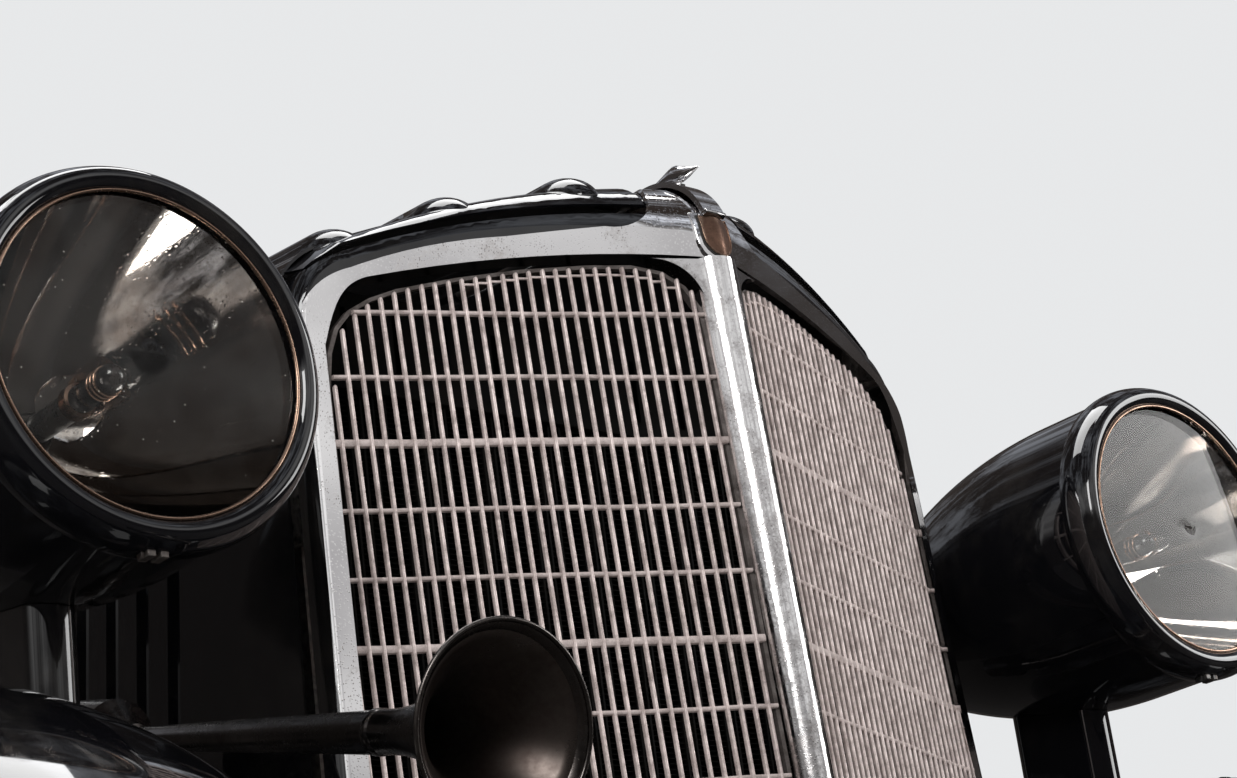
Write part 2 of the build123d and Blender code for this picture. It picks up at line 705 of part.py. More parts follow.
# Lamps: every round piece turns about the lamp's axis, profiles are radius and depth behind the front
lamp_plane = Plane(origin=(LAMP_X, LAMP_FRONT_Y, LAMP_Z), x_dir=(1, 0, 0), z_dir=(0, 0, 1))
lamp_axis = Axis((LAMP_X, LAMP_FRONT_Y, LAMP_Z), (0, 1, 0))
bucket_start = RIM_DEPTH + SEAT_GAP / 2
bucket_turn = bucket_start + BUCKET_STRAIGHT
bucket_end = RIM_DEPTH + BUCKET_LENGTH


def bullet(proud, mode):
    """The bucket's outline as a solid of revolution, larger by a margin."""
    radius = BUCKET_R + proud
    with BuildSketch(lamp_plane) as profile:
        with BuildLine():
            Line((0, bucket_start), (radius, bucket_start))
            Line((radius, bucket_start), (radius, bucket_turn))
            TangentArc((radius, bucket_turn), (BUCKET_TIP_R + proud, bucket_end + proud), tangent=(0, 1))
            Line((BUCKET_TIP_R + proud, bucket_end + proud), (0, bucket_end + proud))
            Line((0, bucket_end + proud), (0, bucket_start))
        make_face()
    revolve(profile.sketch, axis=lamp_axis, mode=mode)


with BuildPart() as lamp_bucket_left:
    bullet(0, Mode.ADD)
    bullet(-LAMP_SHEET, Mode.SUBTRACT)

lens_r = LAMP_R - RIM_WIDTH - SEAT_GAP / 2
lens_curve = (lens_r**2 + LENS_DOME**2) / (2 * LENS_DOME)


def lens_front(radius):
    """Depth of the glass's outer face at a radius."""
    return LENS_SEAT - LENS_DOME + lens_curve - (lens_curve**2 - radius**2) ** 0.5


with BuildPart() as lamp_rim_left:
    with BuildSketch(lamp_plane):
        inner = LAMP_R - RIM_WIDTH
        shoulder = (LAMP_R - RIM_ROUND / 2, RIM_ROUND / 2)
        back = (BUCKET_R + LAMP_SHEET, RIM_DEPTH)
        with BuildLine():
            Line((inner, RIM_DEPTH), (inner, RIM_ROUND / 2))
            ThreePointArc((inner, RIM_ROUND / 2), (inner + RIM_ROUND / 2, 0), shoulder)
            ThreePointArc(shoulder, (LAMP_R, RIM_DEPTH / 2), back)
            Line(back, (inner, RIM_DEPTH))
        make_face()
    revolve(axis=lamp_axis)

with BuildPart() as lamp_lens_left:
    with BuildSketch(lamp_plane):
        outer = [(radius, lens_front(radius)) for radius in (0, lens_r / 2, lens_r)]
        inner = [(radius, depth + LENS_THICKNESS) for radius, depth in outer]
        with BuildLine():
            ThreePointArc(*outer)
            Line(outer[2], inner[2])
            ThreePointArc(inner[2], inner[1], inner[0])
            Line(inner[0], outer[0])
        make_face()
    revolve(axis=lamp_axis)

mirror_start = LENS_SEAT + LENS_THICKNESS + SEAT_GAP / 2
mirror_r = lens_r - REFLECTOR_SHEET
neck_r = BULB_R + BULB_CLEAR


def parabola(depth):
    """Radius of the mirror at a depth."""
    left = (REFLECTOR_DEPTH - depth) / (REFLECTOR_DEPTH - mirror_start)
    return (neck_r**2 + (mirror_r**2 - neck_r**2) * left) ** 0.5


with BuildPart() as lamp_reflector_left:
    middle = REFLECTOR_MIDDLE * REFLECTOR_DEPTH
    with BuildSketch(lamp_plane):
        with BuildLine():
            ThreePointArc((mirror_r, mirror_start), (parabola(middle), middle), (neck_r, REFLECTOR_DEPTH))
            Line((neck_r, REFLECTOR_DEPTH), (neck_r, REFLECTOR_DEPTH + REFLECTOR_SHEET))
            ThreePointArc(
                (neck_r, REFLECTOR_DEPTH + REFLECTOR_SHEET),
                (parabola(middle) + REFLECTOR_SHEET, middle + REFLECTOR_SHEET),
                (lens_r, mirror_start),
            )
            Line((lens_r, mirror_start), (mirror_r, mirror_start))
        make_face()
    revolve(axis=lamp_axis)

collar_end = BULB_TIP_DEPTH + 6 * BULB_R
with BuildPart() as lamp_bulb_left:
    with BuildSketch(lamp_plane):
        with BuildLine():
            Line((0, BULB_TIP_DEPTH), (0, REFLECTOR_DEPTH + REFLECTOR_SHEET))
            Line((0, REFLECTOR_DEPTH + REFLECTOR_SHEET), (BULB_R, REFLECTOR_DEPTH + REFLECTOR_SHEET))
            Line((BULB_R, REFLECTOR_DEPTH + REFLECTOR_SHEET), (BULB_R, collar_end))
            Line((BULB_R, collar_end), (1.25 * BULB_R, collar_end))
            Line((1.25 * BULB_R, collar_end), (1.25 * BULB_R, collar_end - 2 * BULB_R))
            Line((1.25 * BULB_R, collar_end - 2 * BULB_R), (BULB_R, collar_end - 2 * BULB_R))
            Line((BULB_R, collar_end - 2 * BULB_R), (BULB_R, BULB_TIP_DEPTH + BULB_R))
            ThreePointArc(
                (BULB_R, BULB_TIP_DEPTH + BULB_R),
                (BULB_R * sin(radians(45)), BULB_TIP_DEPTH + BULB_R * (1 - sin(radians(45)))),
                (0, BULB_TIP_DEPTH),
            )
        make_face()
    revolve(axis=lamp_axis)

# Fenders
fender_axis = Axis((0, FENDER_AXIS_Y, FENDER_AXIS_Z), (1, 0, 0))


def fender_arch(inset, low, mode):
    """The crowned section, swept round the wheel's axis from the rear over the top to the front."""
    with BuildSketch(Plane(origin=(0, FENDER_AXIS_Y, FENDER_AXIS_Z))) as profile:
        with BuildLine():
            ThreePointArc(
                (FENDER_INNER_X, FENDER_INNER_R - inset),
                (FENDER_CROWN_X, FENDER_CROWN_R - inset),
                (FENDER_OUTER_X - inset, FENDER_OUTER_R - inset),
            )
            Line((FENDER_OUTER_X - inset, FENDER_OUTER_R - inset), (FENDER_OUTER_X - inset, low))
            Line((FENDER_OUTER_X - inset, low), (FENDER_INNER_X, low))
            Line((FENDER_INNER_X, low), (FENDER_INNER_X, FENDER_INNER_R - inset))
        make_face()
    revolve(profile.sketch, axis=fender_axis, revolution_arc=FENDER_SWEEP, mode=mode)


fender_side = Plane(origin=(FENDER_INNER_X, FENDER_AXIS_Y, FENDER_AXIS_Z), x_dir=(0, 1, 0), z_dir=(1, 0, 0))
skirt_floor = SKIRT_BOTTOM_Z - FENDER_AXIS_Z
with BuildPart() as fender_left:
    fender_arch(0, FENDER_OUTER_R - FENDER_SKIRT, Mode.ADD)
    fender_arch(FENDER_SHEET, FENDER_OUTER_R - 2 * FENDER_SKIRT, Mode.SUBTRACT)
    with BuildSketch(fender_side):
        Circle(FENDER_INNER_R)
        with Locations((0, skirt_floor)):
            Rectangle(
                3 * FENDER_INNER_R,
                2 * FENDER_INNER_R,
                align=(Align.CENTER, Align.MAX),
                mode=Mode.SUBTRACT,
            )
        with Locations((FENDER_BOLT_Y - FENDER_AXIS_Y, FENDER_BOLT_Z - FENDER_AXIS_Z)):
            with GridLocations(FENDER_BOLT_SPACING_Y, FENDER_BOLT_SPACING_Z, 2, 2):
                Circle(FENDER_BOLT_R, mode=Mode.SUBTRACT)
    extrude(amount=FENDER_SHEET)

with BuildPart() as lamp_pedestal_left:
    for z in (PEDESTAL_LOW_Z, LAMP_Z - BUCKET_R / 2):
        with BuildSketch(Plane(origin=(LAMP_X, PEDESTAL_Y, z), x_dir=(0, 1, 0), z_dir=(0, 0, 1))):
            SlotOverall(PEDESTAL_LENGTH, PEDESTAL_WIDTH)
    loft(ruled=True)
    bullet(SEAT_GAP / 2, Mode.SUBTRACT)
    fender_arch(-SEAT_GAP / 2, 0, Mode.SUBTRACT)

# Panels between the shell and the fender
panel_outer_x = FENDER_INNER_X - SEAT_GAP / 2
with BuildPart() as catwalk_left:
    with BuildSketch(Plane(origin=(WEB_X, FENDER_AXIS_Y, FENDER_AXIS_Z), x_dir=(0, 1, 0), z_dir=(1, 0, 0))):
        Circle(FENDER_INNER_R)
        Circle(FENDER_INNER_R - FENDER_SHEET, mode=Mode.SUBTRACT)
        with Locations((CATWALK_REAR_Y - FENDER_AXIS_Y, 0)):
            Rectangle(
                3 * FENDER_INNER_R,
                3 * FENDER_INNER_R,
                align=(Align.MAX, Align.MIN),
                mode=Mode.INTERSECT,
            )
    extrude(amount=panel_outer_x - WEB_X)
    with BuildSketch(Plane(origin=(WEB_X, FENDER_AXIS_Y, FENDER_AXIS_Z), x_dir=(0, 1, 0), z_dir=(1, 0, 0))):
        Circle(FENDER_INNER_R - FENDER_SHEET / 2)
        with Locations((side_front_y - HOOD_GAP - FENDER_AXIS_Y, SHELL_BOTTOM_Z - FENDER_AXIS_Z)):
            Rectangle(
                2 * FENDER_INNER_R,
                2 * FENDER_INNER_R,
                align=(Align.MAX, Align.MIN),
                mode=Mode.INTERSECT,
            )
    extrude(amount=FENDER_SHEET)
    web_front_y = side_front_y - 2 * HOOD_GAP
    web_rear_x = WEB_X + HOOD_WIDENS * SHELL_SIDE_X * hood_share(CATWALK_REAR_Y)
    with BuildSketch(Plane.XY.offset(SHELL_BOTTOM_Z)):
        with BuildLine():
            Polyline(
                (WEB_X, web_front_y),
                (web_rear_x, CATWALK_REAR_Y),
                (web_rear_x + FENDER_SHEET, CATWALK_REAR_Y),
                (WEB_X + FENDER_SHEET, web_front_y),
                close=True,
            )
        make_face()
    extrude(amount=side_bottom_z - HOOD_GAP - SHELL_BOTTOM_Z)

shelf_z = SHELL_BOTTOM_Z - 2 * SEAT_GAP
shelf_reach = (FENDER_INNER_R**2 - (shelf_z - FENDER_AXIS_Z) ** 2) ** 0.5
shelf_half = WEB_X - SEAT_GAP / 2
shelf_end = Plane(origin=(-shelf_half, FENDER_AXIS_Y, FENDER_AXIS_Z), x_dir=(0, 1, 0), z_dir=(1, 0, 0))
with BuildPart() as front_valance:
    with BuildSketch(shelf_end):
        Circle(FENDER_INNER_R)
        with Locations((0, 0)):
            Rectangle(
                2 * FENDER_INNER_R,
                shelf_z - FENDER_AXIS_Z,
                align=(Align.MAX, Align.MIN),
                mode=Mode.INTERSECT,
            )
        Circle(FENDER_INNER_R - FENDER_SHEET, mode=Mode.SUBTRACT)
        with Locations((-SEAT_GAP / 2, shelf_z - FENDER_AXIS_Z)):
            Rectangle(shelf_reach - FENDER_SHEET, FENDER_SHEET, align=(Align.MAX, Align.MAX))
            Rectangle(FENDER_SHEET, shelf_z, align=(Align.MAX, Align.MAX))
    extrude(amount=2 * shelf_half)

# Horns: profiles are radius and distance behind the bell
tilt = radians(HORN_TILT)
horn_z = FENDER_AXIS_Z + FENDER_INNER_R + HORN_LIFT
horn_plane = Plane(
    origin=(HORN_X, HORN_FRONT_Y, horn_z), x_dir=(1, 0, 0), z_dir=(0, -sin(tilt), cos(tilt))
)
horn_axis = Axis((HORN_X, HORN_FRONT_Y, horn_z), (0, cos(tilt), sin(tilt)))
with BuildPart() as horn_trumpet_left:
    with BuildSketch(horn_plane):
        bell_in = HORN_BELL_R - 2 * HORN_SHEET
        flare_r = HORN_NECK_R + HORN_FLARE * (HORN_BELL_R - HORN_NECK_R)
        flare_at = HORN_FLARE_AT * HORN_NECK_AT
        with BuildLine():
            ThreePointArc((HORN_BELL_R, 0), (flare_r, flare_at), (HORN_NECK_R, HORN_NECK_AT))
            Line((HORN_NECK_R, HORN_NECK_AT), (HORN_TAIL_R, HORN_LENGTH))
            Line((HORN_TAIL_R, HORN_LENGTH), (0, HORN_LENGTH))
            Line((0, HORN_LENGTH), (0, HORN_DEPTH))
            Line((0, HORN_DEPTH), (HORN_TAIL_R, HORN_DEPTH))
            Line((HORN_TAIL_R, HORN_DEPTH), (HORN_NECK_R - HORN_SHEET, HORN_NECK_AT))
            ThreePointArc(
                (HORN_NECK_R - HORN_SHEET, HORN_NECK_AT), (flare_r - 2 * HORN_SHEET, flare_at), (bell_in, 0)
            )
            Line((bell_in, 0), (HORN_BELL_R, 0))
        make_face()
    revolve(axis=horn_axis)


def motor(proud, mode):
    low = HORN_LENGTH + SEAT_GAP / 2 - proud
    high = low + MOTOR_LENGTH + 2 * proud
    radius = MOTOR_R + proud
    with BuildSketch(horn_plane) as profile:
        with BuildLine():
            Polyline(
                (0, low),
                (MOTOR_NOSE_R, low),
                (radius, low + MOTOR_NOSE_R),
                (radius, high - MOTOR_NOSE_R / 2),
                (radius - MOTOR_NOSE_R / 2, high),
                (0, high),
                close=True,
            )
        make_face()
    revolve(profile.sketch, axis=horn_axis, mode=mode)


with BuildPart() as horn_motor_left:
    motor(0, Mode.ADD)

motor_middle = horn_axis.position + horn_axis.direction * (HORN_LENGTH + MOTOR_LENGTH / 2)
with BuildPart() as horn_bracket_left:
    with Locations((HORN_X, motor_middle.Y, motor_middle.Z)):
        Box(BRACKET_POST, BRACKET_POST, 2 * HORN_DEPTH, align=(Align.CENTER, Align.CENTER, Align.MAX))
    motor(SEAT_GAP / 2, Mode.SUBTRACT)
    with BuildSketch(Plane(origin=(0, FENDER_AXIS_Y, FENDER_AXIS_Z), x_dir=(0, 1, 0), z_dir=(1, 0, 0))):
        Circle(FENDER_INNER_R + SEAT_GAP / 2)
    extrude(amount=FENDER_OUTER_X, mode=Mode.SUBTRACT)

# Radiator and its cradle
cradle_width = 2 * (SHELL_SIDE_X - CRADLE_CLEAR)
core_width = cradle_width - 2 * CRADLE_SIDE - 2 * CORE_CLEAR
tank_depth = CORE_DEPTH + TANK_PROUD
bar_depth = (CRADLE_DEPTH - tank_depth) / 2 - SEAT_GAP
with BuildPart() as radiator_cradle:
    with Locations((0, 0, 0)):
        Box(cradle_width, CRADLE_DEPTH, CRADLE_FOOT, align=(Align.CENTER, Align.CENTER, Align.MIN))
    with Locations(Plane.XY.offset(CRADLE_FOOT)):
        with GridLocations(SADDLE_SPACING_X, SADDLE_SPACING_Y, 2, 2):
            Hole(SADDLE_HOLE_R, depth=CRADLE_FOOT)
    with GridLocations(cradle_width - CRADLE_SIDE, 1, 2, 1):
        Box(CRADLE_SIDE, CRADLE_DEPTH, CRADLE_TOP_Z, align=(Align.CENTER, Align.CENTER, Align.MIN))
    with Locations((0, CRADLE_DEPTH / 2, CRADLE_TOP_Z)):
        Box(cradle_width, bar_depth, CRADLE_BAR, align=(Align.CENTER, Align.MAX, Align.MAX))
    with BuildSketch(Plane(origin=(0, WING_FRONT_Y, 0), x_dir=(1, 0, 0), z_dir=(0, -1, 0))):
        wing_in = cradle_width / 2 - CRADLE_SIDE / 2
        wing_out = SHELL_SIDE_X - SHEET - SEAT_GAP
        with BuildLine():
            Polyline(
                (wing_in, WING_LOW_Z),
                (wing_out, WING_LOW_Z),
                (wing_out, CRADLE_TOP_Z),
                (wing_in, CRADLE_TOP_Z),
                close=True,
            )
        make_face()
        mirror(about=Plane.YZ)
    extrude(amount=-WING_DEPTH)

with BuildPart() as radiator_core:
    with Locations((0, 0, CRADLE_FOOT)):
        Box(core_width, CORE_DEPTH, CORE_TOP_Z - CRADLE_FOOT, align=(Align.CENTER, Align.CENTER, Align.MIN))
        Box(
            core_width + TANK_PROUD,
            tank_depth,
            TANK_HEIGHT,
            align=(Align.CENTER, Align.CENTER, Align.MIN),
        )
    with Locations((0, 0, CORE_TOP_Z)):
        Box(
            core_width + TANK_PROUD,
            tank_depth,
            TANK_HEIGHT,
            align=(Align.CENTER, Align.CENTER, Align.MAX),
        )

stay_foot = Vector(STAY_X, CRADLE_DEPTH / 2, CRADLE_TOP_Z - CRADLE_BAR / 2)
stay_start = stay_foot + Vector(0, STAY_R / 2, 0)
stay_end = Vector(STAY_REAR_X, HOOD_REAR_Y, STAY_REAR_Z)
stay_run = stay_end - stay_start
with BuildPart() as stay_rod_left:
    with BuildSketch(Plane(origin=stay_start, z_dir=stay_run)):
        Circle(STAY_R)
    extrude(amount=stay_run.length)
    with BuildSketch(Plane(origin=stay_end, z_dir=stay_run)):
        Circle(SPIGOT_R)
    extrude(amount=SPIGOT_LENGTH)
    with BuildSketch(Plane(origin=stay_foot, x_dir=(1, 0, 0), z_dir=(0, 1, 0))):
        Circle(2 * STAY_R)
    extrude(amount=STAY_R)

# Trim on the nose
crown_middle = HOOP[-1]
crown_plane, crown_turn, crown_roll, crown_front = hoop_section(crown_middle)
roll_r = crown_middle[4]
roll_centre = (crown_roll(0, 0)[1], SHELL_TOP_Z - roll_r)
chrome_r = roll_r + CHROME_PROUD
strip_r = chrome_r + STRIP_THICKNESS
nose_side = Plane(origin=(0, 0, 0), x_dir=(0, 1, 0), z_dir=(1, 0, 0))


def on_crown(radius, angle):
    """A point over the crown in side view, by its angle up from the front."""
    at = radians(angle)
    return (roll_centre[0] - radius * cos(at), roll_centre[1] + radius * sin(at))


with BuildPart() as nose_moulding:
    with BuildSketch(nose_side):
        with BuildLine():
            ThreePointArc(on_crown(chrome_r, STRIP_ANGLE), on_crown(chrome_r, 45), on_crown(chrome_r, 90))
            Line(on_crown(chrome_r, 90), (crown_middle[3] - SEAT_GAP, SHELL_TOP_Z + CHROME_PROUD))
            Line(
                (crown_middle[3] - SEAT_GAP, SHELL_TOP_Z + CHROME_PROUD),
                (crown_middle[3] - SEAT_GAP, SHELL_TOP_Z + CHROME_PROUD + STRIP_THICKNESS),
            )
            Line(
                (crown_middle[3] - SEAT_GAP, SHELL_TOP_Z + CHROME_PROUD + STRIP_THICKNESS),
                on_crown(strip_r, 90),
            )
            ThreePointArc(on_crown(strip_r, 90), on_crown(strip_r, 45), on_crown(strip_r, STRIP_ANGLE))
            Line(on_crown(strip_r, STRIP_ANGLE), on_crown(chrome_r, STRIP_ANGLE))
        make_face()
    extrude(amount=STRIP_HALF_WIDTH, both=True)

# The shield rests on the post's top and leans back with the nose
shield_tilt = radians(SHIELD_TILT)
shield_plane = Plane(
    origin=(0, face_y(0, SHIELD_TIP_Z) - RIB_PROUD - SEAT_GAP, SHIELD_TIP_Z),
    x_dir=(1, 0, 0),
    z_dir=(0, -cos(shield_tilt), sin(shield_tilt)),
)
with BuildPart() as nose_medallion:
    with BuildSketch(shield_plane):
        with BuildLine():
            Line((SHIELD_HALF_WIDTH, SHIELD_POINT), (SHIELD_HALF_WIDTH, SHIELD_LENGTH))
            Line((SHIELD_HALF_WIDTH, SHIELD_LENGTH), (-SHIELD_HALF_WIDTH, SHIELD_LENGTH))
            Line((-SHIELD_HALF_WIDTH, SHIELD_LENGTH), (-SHIELD_HALF_WIDTH, SHIELD_POINT))
            ThreePointArc((-SHIELD_HALF_WIDTH, SHIELD_POINT), (0, 0), (SHIELD_HALF_WIDTH, SHIELD_POINT))
        make_face()
    extrude(amount=SHIELD_THICKNESS)

fin_r = strip_r + SEAT_GAP / 2
fin_base = on_crown(fin_r, FIN_BASE_ANGLE)
fin_rear = on_crown(fin_r, FIN_REAR_ANGLE)
fin_peak = on_crown(fin_r + FIN_PEAK_HEIGHT, FIN_PEAK_ANGLE)
fin_tip = on_crown(fin_r + FIN_TIP_HEIGHT, FIN_TIP_ANGLE)
fin_neck = on_crown(fin_r + FIN_NECK_HEIGHT, FIN_NECK_ANGLE)
with BuildPart() as nose_fin:
    with BuildSketch(nose_side):
        with BuildLine():
            ThreePointArc(fin_base, on_crown(fin_r, (FIN_BASE_ANGLE + FIN_REAR_ANGLE) / 2), fin_rear)
            Line(fin_rear, fin_peak)
            Line(fin_peak, fin_tip)
            Line(fin_tip, fin_neck)
            Line(fin_neck, fin_base)
        make_face()
    extrude(amount=FIN_THICKNESS / 2, both=True)

# Every piece with a twin on the other side is drawn on the car's left
on_both_sides = {
    "grille": grille_left,
    "hood_side": hood_side_left,
    "hood_handle": hood_handle_left,
    "lamp_bucket": lamp_bucket_left,
    "lamp_rim": lamp_rim_left,
    "lamp_lens": lamp_lens_left,
    "lamp_reflector": lamp_reflector_left,
    "lamp_bulb": lamp_bulb_left,
    "lamp_pedestal": lamp_pedestal_left,
    "fender": fender_left,
    "catwalk": catwalk_left,
    "horn_trumpet": horn_trumpet_left,
    "horn_motor": horn_motor_left,
    "horn_bracket": horn_bracket_left,
    "stay_rod": stay_rod_left,
}
for name, left in on_both_sides.items():
    with BuildPart() as right:
        mirror(left.part, about=Plane.YZ)
    write(left.part, name + "_left")
    write(right.part, name + "_right")

with BuildPart() as right:
    mirror(hood_top_right.part, about=Plane.YZ)
write(hood_top_left.part, "hood_top_left")
write(right.part, "hood_top_right")

on_the_middle = {
    "shell_band": shell_band,
    "radiator_surround": radiator_surround,
    "centre_rib": centre_rib,
    "hinge_rod": hinge_rod,
    "front_valance": front_valance,
    "radiator_cradle": radiator_cradle,
    "radiator_core": radiator_core,
    "nose_moulding": nose_moulding,
    "nose_medallion": nose_medallion,
    "nose_fin": nose_fin,
}
for name, piece in on_the_middle.items():
    write(piece.part, name)
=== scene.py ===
import json
import math
import random

import bpy
import bmesh
from mathutils import Matrix, Vector


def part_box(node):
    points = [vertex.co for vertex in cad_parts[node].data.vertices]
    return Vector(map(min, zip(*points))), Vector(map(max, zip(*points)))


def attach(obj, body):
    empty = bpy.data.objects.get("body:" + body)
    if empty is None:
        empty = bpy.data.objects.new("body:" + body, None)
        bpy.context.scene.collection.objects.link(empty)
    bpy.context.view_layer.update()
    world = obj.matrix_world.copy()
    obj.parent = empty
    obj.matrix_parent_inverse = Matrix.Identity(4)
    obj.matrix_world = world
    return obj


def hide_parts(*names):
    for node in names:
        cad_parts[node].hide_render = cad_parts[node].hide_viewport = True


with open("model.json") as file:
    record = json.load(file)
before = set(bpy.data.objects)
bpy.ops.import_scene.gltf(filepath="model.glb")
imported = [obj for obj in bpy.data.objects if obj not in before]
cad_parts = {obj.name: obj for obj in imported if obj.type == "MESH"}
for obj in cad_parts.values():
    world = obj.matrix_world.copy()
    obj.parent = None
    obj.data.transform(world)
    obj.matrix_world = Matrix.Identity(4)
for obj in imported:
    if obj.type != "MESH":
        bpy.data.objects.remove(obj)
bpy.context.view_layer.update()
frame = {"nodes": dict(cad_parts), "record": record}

MM = 0.001

# Camera: solved from the photograph, in the row frame
AZIMUTH = 0.7378
ELEVATION = 0.3642
ROLL = 0.1335
FOCAL_PX = 2784.3
IMAGE_WIDTH = 1237
SENSOR = 36.0
CAMERA_AT = Vector((-1.28375, -1.48179, -0.14096))
FLOOR_Z = -0.151

NODES = frame["nodes"]

# Sizes shared with the solids, in millimetres
RIDGE_Y = -200.0
SWEEP_BACK = 0.4024
LEAN = 0.051
DATUM_Z = 500.0
LAMP_AT = (475.0, -197.0, 492.0)


# Shader helpers
def node_tree(material):
    material.use_nodes = True
    tree = material.node_tree
    tree.nodes.clear()
    return tree


class Graph:
    """Small helper that adds nodes to a shader tree and links them by name."""

    def __init__(self, tree):
        self.tree = tree

    def add(self, kind, inputs=(), **settings):
        node = self.tree.nodes.new(kind)
        for key, value in settings.items():
            setattr(node, key, value)
        for socket, value in dict(inputs).items():
            target = node.inputs[socket]
            if isinstance(value, bpy.types.NodeSocket):
                self.tree.links.new(value, target)
            else:
                target.default_value = value
        return node

    def noise(self, vector, scale, detail=3.0, rough=0.5, warp=0.0):
        return self.add(
            "ShaderNodeTexNoise",
            {"Vector": vector, "Scale": scale, "Detail": detail, "Roughness": rough, "Distortion": warp},
        ).outputs["Fac"]

    def cells(self, vector, scale):
        return self.add("ShaderNodeTexVoronoi", {"Vector": vector, "Scale": scale}).outputs["Distance"]

    def spread(self, value, low, high, to_low=0.0, to_high=1.0):
        node = self.add(
            "ShaderNodeMapRange",
            {"Value": value, "From Min": low, "From Max": high, "To Min": to_low, "To Max": to_high},
        )
        return node.outputs["Result"]

    def mix(self, factor, first, second):
        node = self.add("ShaderNodeMix", data_type="RGBA")
        for socket, value in ((0, factor), (6, first), (7, second)):
            if isinstance(value, bpy.types.NodeSocket):
                self.tree.links.new(value, node.inputs[socket])
            else:
                node.inputs[socket].default_value = value
        return node.outputs[2]

    def math(self, operation, first, second=0.0):
        node = self.add("ShaderNodeMath", {0: first, 1: second}, operation=operation)
        return node.outputs[0]

    def bump(self, height, distance, strength=1.0):
        node = self.add("ShaderNodeBump", {"Height": height, "Distance": distance, "Strength": strength})
        return node.outputs["Normal"]


def colour(red, green, blue):
    return (red, green, blue, 1.0)


def surface(
    name, base, worn, metallic, rough, rough_worn, scale, wear_from, wear_to,
    pits=0.0, pit_scale=420.0, wave=0.0, edge=None, **fixed
):
    """A base colour that wears to another one in noisy patches and pits, with a bump from both.

    The edge colour shows where the mesh turns sharply, as a worn or polished edge does.
    """
    material = bpy.data.materials.new(name)
    graph = Graph(node_tree(material))
    place = graph.add("ShaderNodeTexCoord").outputs["Object"]
    patches = graph.noise(place, scale, 6.0, 0.62, 0.4)
    fine = graph.noise(place, scale * 13.0, 4.0, 0.65)
    wear = graph.spread(graph.math("ADD", patches, graph.math("MULTIPLY", fine, 0.35)), wear_from, wear_to)
    shader = graph.add("ShaderNodeBsdfPrincipled", {"Metallic": metallic})
    for socket, value in fixed.items():
        shader.inputs[socket.replace("_", " ")].default_value = value
    spots = wear
    height = graph.math("MULTIPLY", wear, 0.12)
    if pits:
        dots = graph.spread(graph.cells(place, pit_scale), 0.30, 0.12)
        speckle = graph.math("MULTIPLY", dots, graph.spread(patches, 0.42, 0.62, 0.15, pits))
        spots = graph.math("MAXIMUM", wear, speckle)
        height = graph.math("ADD", height, graph.math("MULTIPLY", speckle, 0.5))
    if wave:
        ripple = graph.math("MULTIPLY", graph.noise(place, 14.0, 2.0, 0.5), wave)
        height = graph.math("ADD", height, ripple)
    tint = graph.mix(spots, base, worn)
    if edge:
        pointed = graph.spread(graph.add("ShaderNodeNewGeometry").outputs["Pointiness"], 0.54, 0.62)
        tint = graph.mix(graph.math("MULTIPLY", pointed, graph.spread(fine, 0.35, 0.6)), tint, edge)
    links = graph.tree.links
    links.new(graph.bump(height, 0.0004, 0.35), shader.inputs["Normal"])
    links.new(tint, shader.inputs["Base Color"])
    links.new(graph.spread(spots, 0.0, 1.0, rough, rough_worn), shader.inputs["Roughness"])
    graph.add("ShaderNodeOutputMaterial", {"Surface": shader.outputs[0]})
    return material


PAINT = surface(
    "black_paint", colour(0.004, 0.004, 0.005), colour(0.020, 0.018, 0.016), 0.0, 0.05, 0.28, 7.0, 0.66, 1.05,
    wave=0.10, Coat_Weight=0.7, Coat_Roughness=0.02, Specular_IOR_Level=0.4,
)
CHROME = surface(
    "chrome", colour(0.80, 0.79, 0.79), colour(0.36, 0.31, 0.28), 1.0, 0.05, 0.30, 26.0, 0.74, 1.10,
    pits=0.75, pit_scale=520.0, wave=0.12,
)
RIB_CHROME = surface(
    "rib_chrome", colour(0.70, 0.69, 0.69), colour(0.22, 0.19, 0.18), 1.0, 0.10, 0.42, 34.0, 0.60, 0.98,
    pits=1.0, pit_scale=460.0, wave=0.14,
)
GRILLE = surface(
    "grille_silver", colour(0.78, 0.67, 0.635), colour(0.24, 0.18, 0.165), 0.35, 0.38, 0.66, 95.0, 0.54, 1.0,
    pits=1.0, pit_scale=620.0,
)
# A darker copy of the grille's metal for the recessed rim: painted shade behind the bars
GRILLE_RIM_SHADE = surface(
    "grille_rim_shade", colour(0.20, 0.175, 0.165), colour(0.045, 0.035, 0.03), 0.6, 0.45, 0.75, 80.0, 0.45, 0.95,
    pits=1.0, pit_scale=620.0,
)
HORN = surface(
    "horn_nickel", colour(0.115, 0.105, 0.10), colour(0.045, 0.032, 0.026), 1.0, 0.16, 0.45, 22.0, 0.55, 1.0,
    pits=0.8, pit_scale=480.0, edge=colour(0.34, 0.32, 0.30),
)
RUBBER = surface(
    "black_rubber", colour(0.012, 0.012, 0.012), colour(0.05, 0.045, 0.04), 0.0, 0.5, 0.8, 40.0, 0.5, 0.95,
)
STEEL = surface(
    "dark_steel", colour(0.06, 0.06, 0.06), colour(0.13, 0.07, 0.045), 0.7, 0.38, 0.7, 16.0, 0.62, 1.0,
    pits=0.8, edge=colour(0.30, 0.28, 0.26),
)
CORE = surface(
    "core_black", colour(0.004, 0.004, 0.004), colour(0.016, 0.013, 0.011), 0.0, 0.6, 0.9, 22.0, 0.6, 1.0,
    Specular_IOR_Level=0.1,
)
STEM = surface(
    "stem_black", colour(0.010, 0.009, 0.009), colour(0.05, 0.035, 0.03), 0.1, 0.18, 0.5, 30.0, 0.62, 1.0,
    Coat_Weight=0.6, Coat_Roughness=0.1,
)
